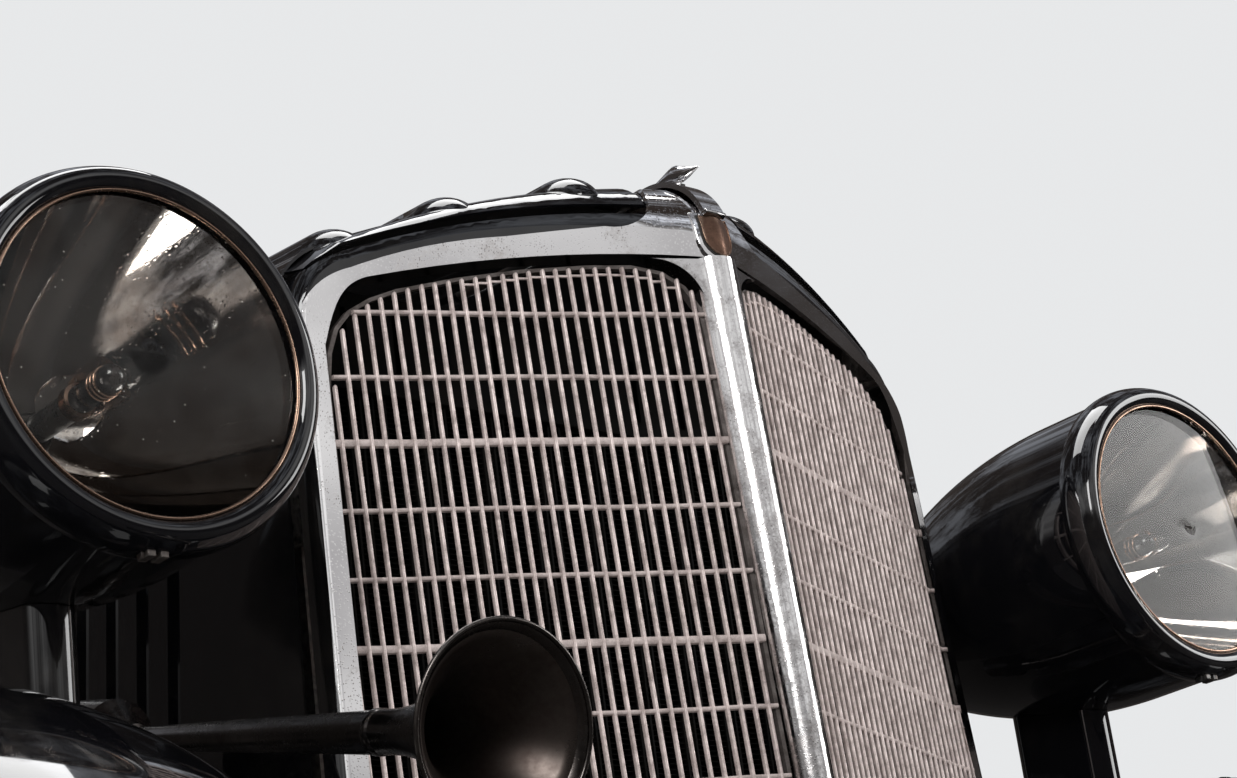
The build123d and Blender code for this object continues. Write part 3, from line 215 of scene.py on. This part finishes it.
MIRROR = surface(
    "mirror_bowl", colour(0.62, 0.59, 0.57), colour(0.22, 0.14, 0.095), 1.0, 0.02, 0.16, 12.0, 0.66, 1.08,
    pits=0.5, pit_scale=260.0,
)
COPPER = surface(
    "copper_ring", colour(0.40, 0.27, 0.20), colour(0.12, 0.07, 0.05), 1.0, 0.2, 0.45, 40.0, 0.6, 1.0,
)
BRONZE = surface(
    "bronze_plate", colour(0.23, 0.13, 0.09), colour(0.06, 0.035, 0.025), 0.9, 0.26, 0.5, 60.0, 0.5, 0.95,
    pits=0.9, pit_scale=800.0, edge=colour(0.62, 0.45, 0.33),
)
# A darker copy of the horn's metal for a sheet inside the bell: painted shade
HORN_BELL_SHADE = surface(
    "horn_bell_shade", colour(0.085, 0.07, 0.062), colour(0.03, 0.018, 0.015), 0.9, 0.26, 0.5, 18.0, 0.5, 1.0,
)


def glass_material():
    material = bpy.data.materials.new("lamp_glass")
    graph = Graph(node_tree(material))
    place = graph.add("ShaderNodeTexCoord").outputs["Object"]
    dust = graph.spread(graph.noise(place, 34.0, 7.0, 0.65), 0.55, 0.95, 0.0, 0.018)
    specks = graph.spread(graph.cells(place, 90.0), 0.055, 0.03, 0.0, 0.6)
    clear = graph.add("ShaderNodeBsdfTransparent", {"Color": colour(0.95, 0.95, 0.94)})
    gloss = graph.add("ShaderNodeBsdfGlossy", {"Roughness": 0.02, "Color": colour(1, 1, 1)})
    facing = graph.add("ShaderNodeLayerWeight", {"Blend": 0.5}).outputs["Facing"]
    shine = graph.spread(graph.math("POWER", facing, 5.0), 0.0, 1.0, 0.012, 0.7)
    dull = graph.add("ShaderNodeBsdfDiffuse", {"Color": colour(0.5, 0.47, 0.43)})
    see = graph.add("ShaderNodeMixShader", {0: shine, 1: clear.outputs[0], 2: gloss.outputs[0]})
    dirt = graph.math("MAXIMUM", dust, specks)
    whole = graph.add("ShaderNodeMixShader", {0: dirt, 1: see.outputs[0], 2: dull.outputs[0]})
    graph.add("ShaderNodeOutputMaterial", {"Surface": whole.outputs[0]})
    return material


GLASS = glass_material()
FINISH = {
    "black_paint": PAINT,
    "chrome": CHROME,
    "rib_chrome": RIB_CHROME,
    "grille_silver": GRILLE,
    "dark_steel": STEEL,
    "core_black": CORE,
    "stem_black": STEM,
    "mirror_bowl": MIRROR,
    "lamp_glass": GLASS,
}
PAINTED = ("lamp_rim_left", "lamp_rim_right")
for entry in frame["record"]["subparts"]:
    look = PAINT if entry["node"] in PAINTED else FINISH[entry["material_slot"]]
    for place in NODES[entry["node"]].material_slots:
        place.material = look


# Mesh helpers: every point is in millimetres, in the row frame
POINT_R = 0.02


def skin(bm, rings, closed=True, caps=True):
    """Joins rings of points, one after the other, into a tube."""
    rows = [[bm.verts.new(Vector(p) * MM) for p in ring] for ring in rings]
    for low, high in zip(rows, rows[1:]):
        count = len(low) if closed else len(low) - 1
        for i in range(count):
            j = (i + 1) % len(low)
            bm.faces.new((low[i], low[j], high[j], high[i]))
    if caps:
        bm.faces.new(tuple(reversed(rows[0])))
        bm.faces.new(tuple(rows[-1]))


def block(bm, low, high):
    """A box between two corners."""
    (x0, y0, z0), (x1, y1, z1) = low, high
    skin(bm, [[(x0, y0, z), (x1, y0, z), (x1, y1, z), (x0, y1, z)] for z in (z0, z1)])


def turned(bm, at, along, profile, steps=64, closed=False):
    """A profile of (radius, distance along) turned about an axis."""
    axis = Vector(along).normalized()
    side = axis.orthogonal().normalized()
    other = axis.cross(side)
    rings = []
    for radius, run in profile:
        middle = Vector(at) + axis * run
        ring = []
        for i in range(steps):
            a = 2 * math.pi * i / steps
            ring.append(middle + (side * math.cos(a) + other * math.sin(a)) * max(radius, POINT_R))
        rings.append(ring)
    if closed:
        rings.append(rings[0])
    skin(bm, rings, caps=not closed)


def circle(radius, run, minor, steps=10):
    """The profile of a bead, as a small circle."""
    turns = [2 * math.pi * i / steps for i in range(steps)]
    return [(radius + minor * math.cos(a), run + minor * math.sin(a)) for a in turns]


def arc(first, middle, last, steps=12):
    """Points from the first to the last on the circle through all three."""
    (ax, ay), (bx, by), (cx, cy) = first, middle, last
    spread = 2 * (ax * (by - cy) + bx * (cy - ay) + cx * (ay - by))
    a2, b2, c2 = ax**2 + ay**2, bx**2 + by**2, cx**2 + cy**2
    mx = (a2 * (by - cy) + b2 * (cy - ay) + c2 * (ay - by)) / spread
    my = (a2 * (cx - bx) + b2 * (ax - cx) + c2 * (bx - ax)) / spread
    radius = math.hypot(ax - mx, ay - my)
    start = math.atan2(ay - my, ax - mx)
    turn = (math.atan2(cy - my, cx - mx) - start + math.pi) % (2 * math.pi) - math.pi
    return [
        (mx + radius * math.cos(start + turn * i / steps), my + radius * math.sin(start + turn * i / steps))
        for i in range(steps + 1)
    ]


def cord(bm, path, radius, up=(0, 0, 1), closed=False, steps=8):
    """A round bead along a path; up is any direction that the path never takes."""
    points = [Vector(p) for p in path]
    count = len(points)
    turns = [2 * math.pi * k / steps for k in range(steps)]
    rings = []
    for i, point in enumerate(points):
        before = points[i - 1] if closed or i else point
        after = points[(i + 1) % count] if closed or i + 1 < count else point
        run = (after - before).normalized()
        side = run.cross(Vector(up)).normalized()
        other = side.cross(run)
        rings.append([point + (side * math.cos(a) + other * math.sin(a)) * radius for a in turns])
    if closed:
        rings.append(rings[0])
    skin(bm, rings, caps=not closed)


def bolt(bm, at, along, across=11.0, tall=6.0):
    """A hexagonal head on a round washer."""
    turned(bm, at, along, [(POINT_R, 0), (0.78 * across, 0), (0.78 * across, 1.4), (POINT_R, 1.4)], steps=24)
    head = across / math.sqrt(3)
    profile = [(POINT_R, 1.4), (head, 1.4), (head, tall - 1.0), (0.86 * head, tall), (POINT_R, tall)]
    turned(bm, at, along, profile, steps=6)


def finish_piece(name, bm, material, body="front_end", smooth=35.0, bevel=0.0, replaces=()):
    """Turns a finished bmesh into a piece that rides on a body and stands for the nodes it replaces."""
    bmesh.ops.remove_doubles(bm, verts=bm.verts, dist=1e-7)
    bmesh.ops.recalc_face_normals(bm, faces=bm.faces)
    mesh = bpy.data.meshes.new(name)
    bm.to_mesh(mesh)
    bm.free()
    mesh.materials.append(material)
    piece = bpy.data.objects.new(name, mesh)
    bpy.context.scene.collection.objects.link(piece)
    if bevel:
        round_off = piece.modifiers.new("edge", "BEVEL")
        round_off.width = bevel * MM
        round_off.segments = 2
        round_off.limit_method = "ANGLE"
        round_off.angle_limit = math.radians(30)
    mesh.shade_smooth()
    mesh.set_sharp_from_angle(angle=math.radians(smooth))
    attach(piece, body)
    if replaces:
        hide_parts(*replaces)


# Grille: rounded uprights with free tips in front, crossbars let into their backs, and a rim behind in darker
# metal as painted shade
def face_y(x, z):
    """Depth of the grille plane at a place in the front view."""
    return RIDGE_Y + SWEEP_BACK * abs(x) + LEAN * (z - DATUM_Z)


# Columns of both tables: x and z in the front view
TIPS = [
    (284, 110), (272.5, 520), (267, 549), (260, 583), (252.5, 593), (243.5, 601.5), (236, 606), (226, 611),
    (206, 618), (171, 624), (122, 631), (70, 634), (43, 631), (26, 622), (17, 607), (10, 573),
]
RIM = [
    (15.5, 99.5), (281.4, 99.5), (271.6, 540), (268, 566), (262, 584), (252, 597), (238, 606), (220, 613),
    (180, 622), (136, 629), (90, 633), (60, 633.5), (40, 629), (26, 618), (18, 602), (16.5, 580),
]
PITCH = 9.1
FIRST_UPRIGHT = 21.0
UPRIGHTS = 29
BAR = 2.7
BAR_DEPTH = 3.0
FOOT_Z = 103.0
LEVEL = 48.0
CROSSBAR_FROM = 16.5


def between(value, points, key, answer):
    """Straight-line reading of a table of points."""
    for first, last in zip(points, points[1:]):
        low, high = sorted((first[key], last[key]))
        if low <= value <= high and low != high:
            share = (value - first[key]) / (last[key] - first[key])
            return first[answer] + share * (last[answer] - first[answer])
    nearest = min(points[0], points[-1], key=lambda point: abs(value - point[key]))
    return nearest[answer]


def grille(side):
    chance = random.Random(11 + side)
    bm = bmesh.new()
    half = BAR / 2
    section = [
        (-half, 1.3), (-0.86 * half, 0.55), (-0.5 * half, 0.12), (0, 0), (0.5 * half, 0.12),
        (0.86 * half, 0.55), (half, 1.3), (half, BAR_DEPTH), (-half, BAR_DEPTH),
    ]
    for number in range(UPRIGHTS):
        x = FIRST_UPRIGHT + PITCH * number + BAR / 2 + chance.uniform(-0.22, 0.22)
        top = between(x, TIPS, 0, 1) - 0.8
        phase = chance.uniform(0, 6.28)
        heights = [FOOT_Z + (top - 2.4 - FOOT_Z) * i / 20 for i in range(21)]
        stations = [(z, 1.0) for z in heights] + [(top - 1.2, 0.92), (top - 0.4, 0.66), (top, 0.3)]
        rings = []
        for z, share in stations:
            shift = 0.16 * math.sin(z / 61.0 + phase)
            back = 0.12 + 0.12 * math.sin(z / 83.0 + 2 * phase)
            rings.append(
                [(side * (x + shift + a * share), face_y(x, z) + back + d * share + 1.2 * (1 - share), z)
                 for a, d in section]
            )
        skin(bm, rings)
    for level in range(-2, 9):
        z = DATUM_Z - LEVEL * level
        tall = (5.6 if level % 3 == 0 else 3.1) / 2
        outer = between(z, TIPS[:10], 1, 0) + 1.5
        outline = [
            (-tall, 2.2), (-0.85 * tall, 1.1), (-0.45 * tall, 0.65), (0.45 * tall, 0.65),
            (0.85 * tall, 1.1), (tall, 2.2), (tall, 4.5), (-tall, 4.5),
        ]
        phase = chance.uniform(0, 6.28)
        rings = []
        steps = 26
        for i in range(steps + 1):
            x = CROSSBAR_FROM + (outer - CROSSBAR_FROM) * i / steps
            lift = 0.28 * math.sin(x / 27.0 + phase) + 0.12 * math.sin(x / 7.3 + 2 * phase)
            rings.append([(side * x, face_y(x, z) + d, z + lift + a) for a, d in outline])
        skin(bm, rings)
    # Short ties between the uprights under the arch
    tie = ((-0.7, 1.6), (0.7, 1.6), (0.7, 3.2), (-0.7, 3.2))
    for x in range(30, 166, 9):
        z = between(x, TIPS, 0, 1) - 7.0
        gap = FIRST_UPRIGHT + PITCH * round((x - FIRST_UPRIGHT) / PITCH) + BAR
        ends = (gap - 0.2, gap + PITCH - BAR + 0.2)
        skin(bm, [[(side * at, face_y(at, z) + d, z + a) for a, d in tie] for at in ends])
    name = "left" if side > 0 else "right"
    finish_piece("grille_lattice_" + name, bm, GRILLE, replaces=["grille_" + name])
    # The rim behind the bars, in the darker copy of the grille metal as painted shade in the recess
    bm = bmesh.new()
    rings = []
    for i, (x, z) in enumerate(RIM):
        before, after = Vector(RIM[i - 1]), Vector(RIM[(i + 1) % len(RIM)])
        out = Vector(((after - before).y, -(after - before).x)).normalized() * 1.4
        corners = ((x + out.x, z + out.y), (x - out.x, z - out.y))
        rings.append(
            [(side * px, face_y(px, pz) + depth, pz)
             for (px, pz), depth in zip(corners + corners[::-1], (3.2, 3.2, 8.8, 8.8))]
        )
    rings.append(rings[0])
    skin(bm, rings, caps=False)
    finish_piece("grille_rim_" + name, bm, GRILLE_RIM_SHADE)


for side in (1, -1):
    grille(side)


# Radiator: flat tubes and folded fins between two soldered tanks
TANK_HEIGHT = 75
TUBES = 45
FINS = 118


def radiator():
    low, high = (Vector(c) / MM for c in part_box("radiator_core"))
    bm = bmesh.new()
    inner = high.x - 4.5
    fin_low, fin_high = low.z + TANK_HEIGHT, high.z - TANK_HEIGHT
    for z0, z1 in ((low.z, fin_low), (fin_high, high.z)):
        block(bm, (low.x, low.y, z0), (high.x, high.y, z1))
        for y in (low.y, high.y - 1.5):
            for x in range(-220, 221, 44):
                block(bm, (x - 3, y, z0 + 12), (x + 3, y + 1.5, z1 - 12))
    finish_piece("radiator_tanks", bm, CORE, bevel=5.0, replaces=["radiator_core"])
    bm = bmesh.new()
    for side in (-1, 1):
        block(bm, (side * inner - 2, low.y + 3, fin_low), (side * inner + 2, high.y - 3, fin_high))
    for i in range(TUBES):
        x = -inner + 2 * inner * (i + 0.5) / TUBES
        block(bm, (x - 0.9, low.y + 5, fin_low - 1), (x + 0.9, high.y - 5, fin_high + 1))
    for i in range(FINS):
        z = fin_low + 2 + i * (fin_high - fin_low - 4) / (FINS - 1)
        block(bm, (-inner, low.y + 6, z - 0.25), (inner, high.y - 6, z + 0.25))
    block(bm, (-inner, -2, fin_low - 1), (inner, 2, fin_high + 1))
    finish_piece("radiator_fins", bm, CORE)


radiator()


# Lamps: every distance along is behind the rim's front
STEM_TIP = 39.0
STEM_END = 136.0


def lamp(side):
    name = "left" if side > 0 else "right"
    at = (side * LAMP_AT[0], LAMP_AT[1], LAMP_AT[2])
    along = (0, 1, 0)
    # Mirror: a parabola from the glass back to the neck
    bm = bmesh.new()
    front, deep, neck, mouth = 10.4, 135.0, 9.3, 102.1
    steps = 40
    inside = []
    for i in range(steps + 1):
        depth = front + (deep - front) * i / steps
        left = (deep - depth) / (deep - front)
        inside.append((math.sqrt(neck**2 + (mouth**2 - neck**2) * left), depth))
    outside = [(radius + 1.4, depth + 0.6) for radius, depth in reversed(inside)]
    turned(bm, at, along, inside + outside, steps=128, closed=True)
    hidden = ["lamp_reflector_" + name]
    finish_piece("mirror_" + name, bm, MIRROR, smooth=60, replaces=hidden)
    # Stem with a dark round tip and copper rings behind it
    bm = bmesh.new()
    tip = STEM_TIP
    profile = [(POINT_R, tip), (3.4, tip + 0.6), (6.2, tip + 2.4), (8.2, tip + 5.4), (9.0, tip + 9.0)]
    profile += [(9.0, tip + 34), (8.4, tip + 35), (8.4, tip + 40), (9.0, tip + 41)]
    profile += [(9.0, STEM_END), (POINT_R, STEM_END)]
    turned(bm, at, along, profile, steps=48)
    finish_piece("lamp_stem_" + name, bm, STEM, smooth=50, replaces=["lamp_bulb_" + name])
    bm = bmesh.new()
    for run in (tip + 13.5, tip + 17.5, tip + 21.5):
        turned(bm, at, along, circle(9.4, run, 1.1), steps=48, closed=True)
    turned(bm, at, along, [(9.0, 84), (11.2, 84.6), (11.2, 92.4), (9.0, 93)], steps=48, closed=True)
    finish_piece("stem_rings_" + name, bm, COPPER, smooth=60)
    # Bead between glass and rim
    bm = bmesh.new()
    turned(bm, at, along, circle(102.9, 3.6, 1.3), steps=160, closed=True)
    finish_piece("glass_bead_" + name, bm, COPPER, smooth=80)
    # Clamp of the rim at the bottom, with its screw
    bm = bmesh.new()
    x, y, z = at
    block(bm, (x - 7, y + 9, z - 124.5), (x - 1.6, y + 21, z - 120.5))
    block(bm, (x + 1.6, y + 9, z - 124.5), (x + 7, y + 21, z - 120.5))
    screw = [(POINT_R, 0), (2.9, 0), (2.9, 2.2), (1.4, 2.4), (1.4, 18), (POINT_R, 18)]
    turned(bm, (x - 9.5, y + 15, z - 122.5), (1, 0, 0), screw, steps=20)
    finish_piece("rim_clamp_" + name, bm, STEEL, bevel=0.5)


for side in (1, -1):
    lamp(side)


# Horns: a thin trumpet, a liner in the bell in darker metal as painted shade, and a rolled bead at the mouth
HORN_AT = (377.0, -362.0, 225.0)
HORN_TILT = math.radians(14.4)


def horn(side):
    name = "left" if side > 0 else "right"
    at = (side * HORN_AT[0], HORN_AT[1], HORN_AT[2])
    along = (0, math.cos(HORN_TILT), math.sin(HORN_TILT))
    outer = arc((59.0, 1.5), (27.1, 44.0), (13.0, 110.0), 20)
    inner = arc((57.4, 1.5), (25.6, 44.0), (11.5, 110.0), 20)
    bm = bmesh.new()
    ring = [(13.0, 112.0), (13.6, 113.0), (13.6, 118.0), (12.7, 119.0)]
    tail = [(7.4, 382.0), (9.6, 383.0), (9.6, 394.5), (POINT_R, 394.5)]
    turned(bm, at, along, [(POINT_R, 150.0), *reversed(inner), *outer, *ring, *tail], steps=72)
    turned(bm, at, along, circle(58.3, 1.7, 1.6), steps=96, closed=True)
    hidden = ["horn_trumpet_" + name]
    finish_piece("horn_shell_" + name, bm, HORN, smooth=50, replaces=hidden)
    # Sheet just inside the bell, in the darker metal, as painted shade
    bm = bmesh.new()
    shade_liner = [(radius - 0.3, run + 0.2) for radius, run in inner[1:]]
    thin = [(radius - 0.4, run) for radius, run in shade_liner]
    turned(bm, at, along, thin + shade_liner[::-1], steps=72, closed=True)
    finish_piece("horn_shade_liner_" + name, bm, HORN_BELL_SHADE, smooth=60)
    bm = bmesh.new()
    low, high = (Vector(c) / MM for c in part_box("horn_bracket_" + name))
    for y in (low.y + 6, high.y - 6):
        bolt(bm, (low.x if side < 0 else high.x, y, low.z + 30), (side, 0, 0), 8.0, 5.0)
    finish_piece("horn_bolts_" + name, bm, STEEL, smooth=30)


for side in (1, -1):
    horn(side)


# Nose trim: the crown's middle rolls about one line
ROLL_AT = (-134.1, 653.0)
CROWN_R = 61.0
STRIP_R = 65.0
CROWN_FOOT_Z = 656


def on_roll(x, radius, degrees):
    """A place at a radius about the crown's roll, measured from straight up towards the front."""
    turn = math.radians(degrees)
    return (x, ROLL_AT[0] - radius * math.sin(turn), ROLL_AT[1] + radius * math.cos(turn))


def fin():
    """Swept fin: oval sections from its rear tail to its front tip."""
    sections = [
        (-127.3, 718.0, 718.6, 0.8), (-132.0, 717.9, 719.8, 1.5), (-139.0, 717.9, 721.4, 2.4),
        (-150.0, 716.3, 724.3, 3.3), (-157.0, 714.2, 726.4, 3.9), (-160.5, 712.9, 727.1, 4.0),
        (-164.5, 712.0, 726.2, 3.9), (-168.0, 711.3, 724.2, 3.6), (-174.0, 712.2, 721.4, 3.0),
        (-181.0, 714.2, 718.3, 1.8), (-186.7, 715.5, 715.9, 0.3),
    ]
    bm = bmesh.new()
    turns = [2 * math.pi * k / 14 for k in range(14)]
    rings = []
    for y, low, high, half in sections:
        middle, tall = (low + high) / 2, (high - low) / 2
        rings.append([(half * math.cos(a), y, middle + tall * math.sin(a)) for a in turns])
    skin(bm, rings)
    low_r, high_r = STRIP_R - 0.5, STRIP_R + 1.3
    foot = []
    for i in range(13):
        half = 5.2 * math.sin(math.pi * (0.08 + 0.84 * i / 12)) ** 0.5
        degrees = 31.0 - 36.0 * i / 12
        corners = ((-half, low_r), (half, low_r), (0.7 * half, high_r), (-0.7 * half, high_r))
        foot.append([on_roll(x, radius, degrees) for x, radius in corners])
    skin(bm, foot)
    finish_piece("swept_fin", bm, CHROME, smooth=60, replaces=["nose_fin"])


def crown_y(x, z):
    """Depth of the chrome at the post's top and the crown's foot, a little rounded at the ridge."""
    ridge = -195.6 + LEAN * (z - 650)
    if z >= CROWN_FOOT_Z:
        ridge = ROLL_AT[0] - math.sqrt(CROWN_R**2 - (z - ROLL_AT[1]) ** 2)
    return ridge + SWEEP_BACK * (math.hypot(x, 3.0) - 3.0)


# Columns: z and half width
SHIELD = [
    (639.5, 1.2), (640.5, 3.4), (642.5, 6.4), (645.5, 9.2),
    (649.5, 11.4), (655.0, 12.4), (664.0, 12.5), (671.5, 12.5),
]


def plate(bm, rows, proud, back, grow=0.0):
    """A plate that follows the crown, from rows of height and half width."""
    top, foot = rows[-1][0], rows[0][0]
    rings = []
    for z, half in rows:
        z += grow * (2 * (z - foot) / (top - foot) - 1)
        half += grow
        across = [half * (k / 6 - 1) for k in range(13)]
        front = [(x, crown_y(x, z) - proud, z) for x in across]
        rear = [(x, crown_y(x, z) - back, z) for x in reversed(across)]
        rings.append(front + rear)
    skin(bm, rings)


def badge():
    """Plain bronze shield with a raised edge, in a black gasket on a chrome seat."""
    bm = bmesh.new()
    plate(bm, SHIELD, 1.3, -3.0, 4.2)
    finish_piece("shield_seat", bm, CHROME, smooth=50, bevel=0.6, replaces=["nose_medallion"])
    bm = bmesh.new()
    plate(bm, SHIELD, 2.1, 0.6, 1.2)
    finish_piece("shield_gasket", bm, RUBBER, smooth=50)
    bm = bmesh.new()
    plate(bm, SHIELD, 3.0, 1.4)
    edge = [(half, crown_y(half, z) - 3.1, z) for z, half in SHIELD]
    edge += [(-x, y, z) for x, y, z in reversed(edge)]
    cord(bm, edge, 0.75, up=(0, 1, 0.1), closed=True)
    finish_piece("shield_plate", bm, BRONZE, smooth=50)
    bm = bmesh.new()
    bar = ((62.0, 72.6), (66.4, 72.2), (67.0, 71.0), (66.4, 69.6), (62.0, 69.2))
    skin(bm, [[on_roll(x, radius, degrees) for radius, degrees in bar] for x in (-9.5, 9.5)])
    finish_piece("strip_end", bm, CHROME, bevel=0.5)


fin()
badge()


# Welting between the catwalks and the fenders, and the feet of the lamp pedestals
WHEEL_AXIS = (-50.0, -60.0)
SEAM_X = 419.8
SEAM_R = 315.2
PEDESTAL_Y = -30.0
PAD_X = 18.4
PAD_Y = 47.0


def over_fender(x, y):
    """Height of the fender's skin near its inner edge; x is measured outwards from the car's middle."""
    share = (x - 420.0) / 220.0
    radius = 315.0 + 57.0 * (1 - (1 - share) ** 2)
    return WHEEL_AXIS[1] + math.sqrt(radius**2 - (y - WHEEL_AXIS[0]) ** 2)


def fender_details(side):
    name = "left" if side > 0 else "right"
    bm = bmesh.new()
    path = []
    for i in range(61):
        turn = math.radians(-86.0 + 158.0 * i / 60)
        y, z = WHEEL_AXIS[0] + SEAM_R * math.sin(turn), WHEEL_AXIS[1] + SEAM_R * math.cos(turn)
        path.append((side * SEAM_X, y, z))
    cord(bm, path, 2.2, up=(1, 0, 0))
    finish_piece("welting_" + name, bm, RUBBER, smooth=70)
    bm = bmesh.new()
    low, high = (Vector(c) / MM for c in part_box("lamp_pedestal_" + name))
    middle = (low.x + high.x) / 2
    path = []
    for i in range(48):
        turn = 2 * math.pi * i / 48
        x = PAD_X * math.cos(turn)
        y = PAD_Y * math.sin(turn)
        if abs(y) < PAD_Y - PAD_X:
            x = math.copysign(PAD_X, x)
        place = middle + x
        path.append((place, PEDESTAL_Y + y, over_fender(side * place, PEDESTAL_Y + y) + 0.8))
    cord(bm, path, 1.6, closed=True)
    finish_piece("pedestal_pad_" + name, bm, RUBBER, smooth=70)


for side in (1, -1):
    fender_details(side)


# Floor and light
floor_mesh = bpy.data.meshes.new("floor")
reach = 14.0
floor_mesh.from_pydata(
    [(-reach, -reach, FLOOR_Z), (reach, -reach, FLOOR_Z), (reach, reach, FLOOR_Z), (-reach, reach, FLOOR_Z)],
    [],
    [(0, 1, 2, 3)],
)
floor = bpy.data.objects.new("floor", floor_mesh)
bpy.context.scene.collection.objects.link(floor)
floor_look = bpy.data.materials.new("floor_look")
floor_graph = Graph(node_tree(floor_look))
floor_rays = floor_graph.add("ShaderNodeLightPath").outputs
pale, dark = colour(0.78, 0.77, 0.75), colour(0.022, 0.018, 0.016)
floor_tint = floor_graph.mix(floor_rays["Is Glossy Ray"], pale, dark)
floor_place = floor_graph.add("ShaderNodeTexCoord").outputs["Object"]
distance = floor_graph.add("ShaderNodeVectorMath", {0: floor_place}, operation="LENGTH").outputs["Value"]
far_off = floor_graph.spread(distance, 3.0, 8.0, 0.0, 0.36)
glow = floor_graph.math("MULTIPLY", floor_rays["Is Camera Ray"], far_off)
floor_shader = floor_graph.add(
    "ShaderNodeBsdfPrincipled",
    {
        "Base Color": floor_tint, "Roughness": 0.75,
        "Emission Color": colour(1, 1, 1), "Emission Strength": glow,
    },
)
floor_graph.add("ShaderNodeOutputMaterial", {"Surface": floor_shader.outputs[0]})
floor_mesh.materials.append(floor_look)

world = bpy.data.worlds.new("studio")
bpy.context.scene.world = world
world.use_nodes = True
sky = Graph(world.node_tree)
world.node_tree.nodes.clear()
direction = sky.add("ShaderNodeTexCoord").outputs["Generated"]
parts = sky.add("ShaderNodeSeparateXYZ", {0: direction}).outputs
uneven = sky.math("MULTIPLY", sky.spread(sky.noise(direction, 2.6, 5.0, 0.6), 0.3, 0.7, -1.0, 1.0), 0.06)
height = sky.math("ADD", parts["Z"], uneven)
forwards = sky.math("MULTIPLY", sky.math("ADD", parts["Y"], sky.math("MULTIPLY", parts["X"], 0.5)), -1.0)
branches = sky.spread(sky.noise(direction, 4.2, 9.0, 0.72, 0.5), 0.47, 0.60)
canopy = sky.mix(branches, colour(0.035, 0.028, 0.025), colour(0.80, 0.84, 0.92))
patches = sky.spread(sky.noise(direction, 8.0, 5.0, 0.6), 0.35, 0.58)
haze = sky.mix(patches, colour(0.42, 0.41, 0.42), colour(1, 1, 1))
ground = colour(0.03, 0.026, 0.024)
front = sky.mix(sky.spread(height, 0.25, 0.34), ground, haze)
front = sky.mix(sky.spread(height, 0.50, 0.62), front, canopy)
rear = sky.mix(branches, colour(0.05, 0.04, 0.035), colour(0.46, 0.48, 0.53))
rear = sky.mix(sky.spread(height, 0.40, 0.52), colour(0.04, 0.035, 0.033), rear)
around = sky.mix(sky.spread(forwards, -0.1, 0.25), rear, front)
rays = sky.add("ShaderNodeLightPath").outputs
pale = colour(0.80, 0.81, 0.82)
glossy = sky.mix(rays["Is Glossy Ray"], colour(0.42, 0.42, 0.43), around)
through = sky.mix(rays["Is Transmission Ray"], glossy, pale)
seen = sky.mix(rays["Is Camera Ray"], through, pale)
back = sky.add("ShaderNodeBackground", {"Color": seen, "Strength": 1.0})
sky.add("ShaderNodeOutputWorld", {"Surface": back.outputs[0]})


def softbox(name, at, towards, width, depth, power):
    light = bpy.data.lights.new(name, "AREA")
    light.shape = "RECTANGLE"
    light.size = width
    light.size_y = depth
    light.energy = power
    lamp = bpy.data.objects.new(name, light)
    lamp.location = at
    lamp.rotation_euler = (Vector(towards) - Vector(at)).to_track_quat("-Z", "Y").to_euler()
    bpy.context.scene.collection.objects.link(lamp)
    return lamp


softbox("key", (-3.0, -2.6, 2.6), (0, 0, 0.4), 1.6, 1.6, 80)
softbox("fill", (3.2, -2.4, 1.6), (0, 0, 0.4), 1.4, 2.0, 45)
softbox("top", (0, 0.4, 3.4), (0, 0.2, 0.5), 2.4, 1.2, 45)

camera_data = bpy.data.cameras.new("camera")
camera_data.lens = SENSOR * FOCAL_PX / IMAGE_WIDTH
camera_data.sensor_width = SENSOR
camera_data.clip_start = 0.01
camera = bpy.data.objects.new("camera", camera_data)
bpy.context.scene.collection.objects.link(camera)
forward = Vector(
    (
        math.sin(AZIMUTH) * math.cos(ELEVATION),
        math.cos(AZIMUTH) * math.cos(ELEVATION),
        math.sin(ELEVATION),
    )
)
level = Vector((math.cos(AZIMUTH), -math.sin(AZIMUTH), 0))
down = forward.cross(level)
right = level * math.cos(ROLL) + down * math.sin(ROLL)
down = down * math.cos(ROLL) - level * math.sin(ROLL)
camera.matrix_world = Matrix.Translation(CAMERA_AT) @ Matrix((right, -down, -forward)).transposed().to_4x4()
bpy.context.scene.camera = camera

bpy.context.scene.view_settings.view_transform = "Standard"
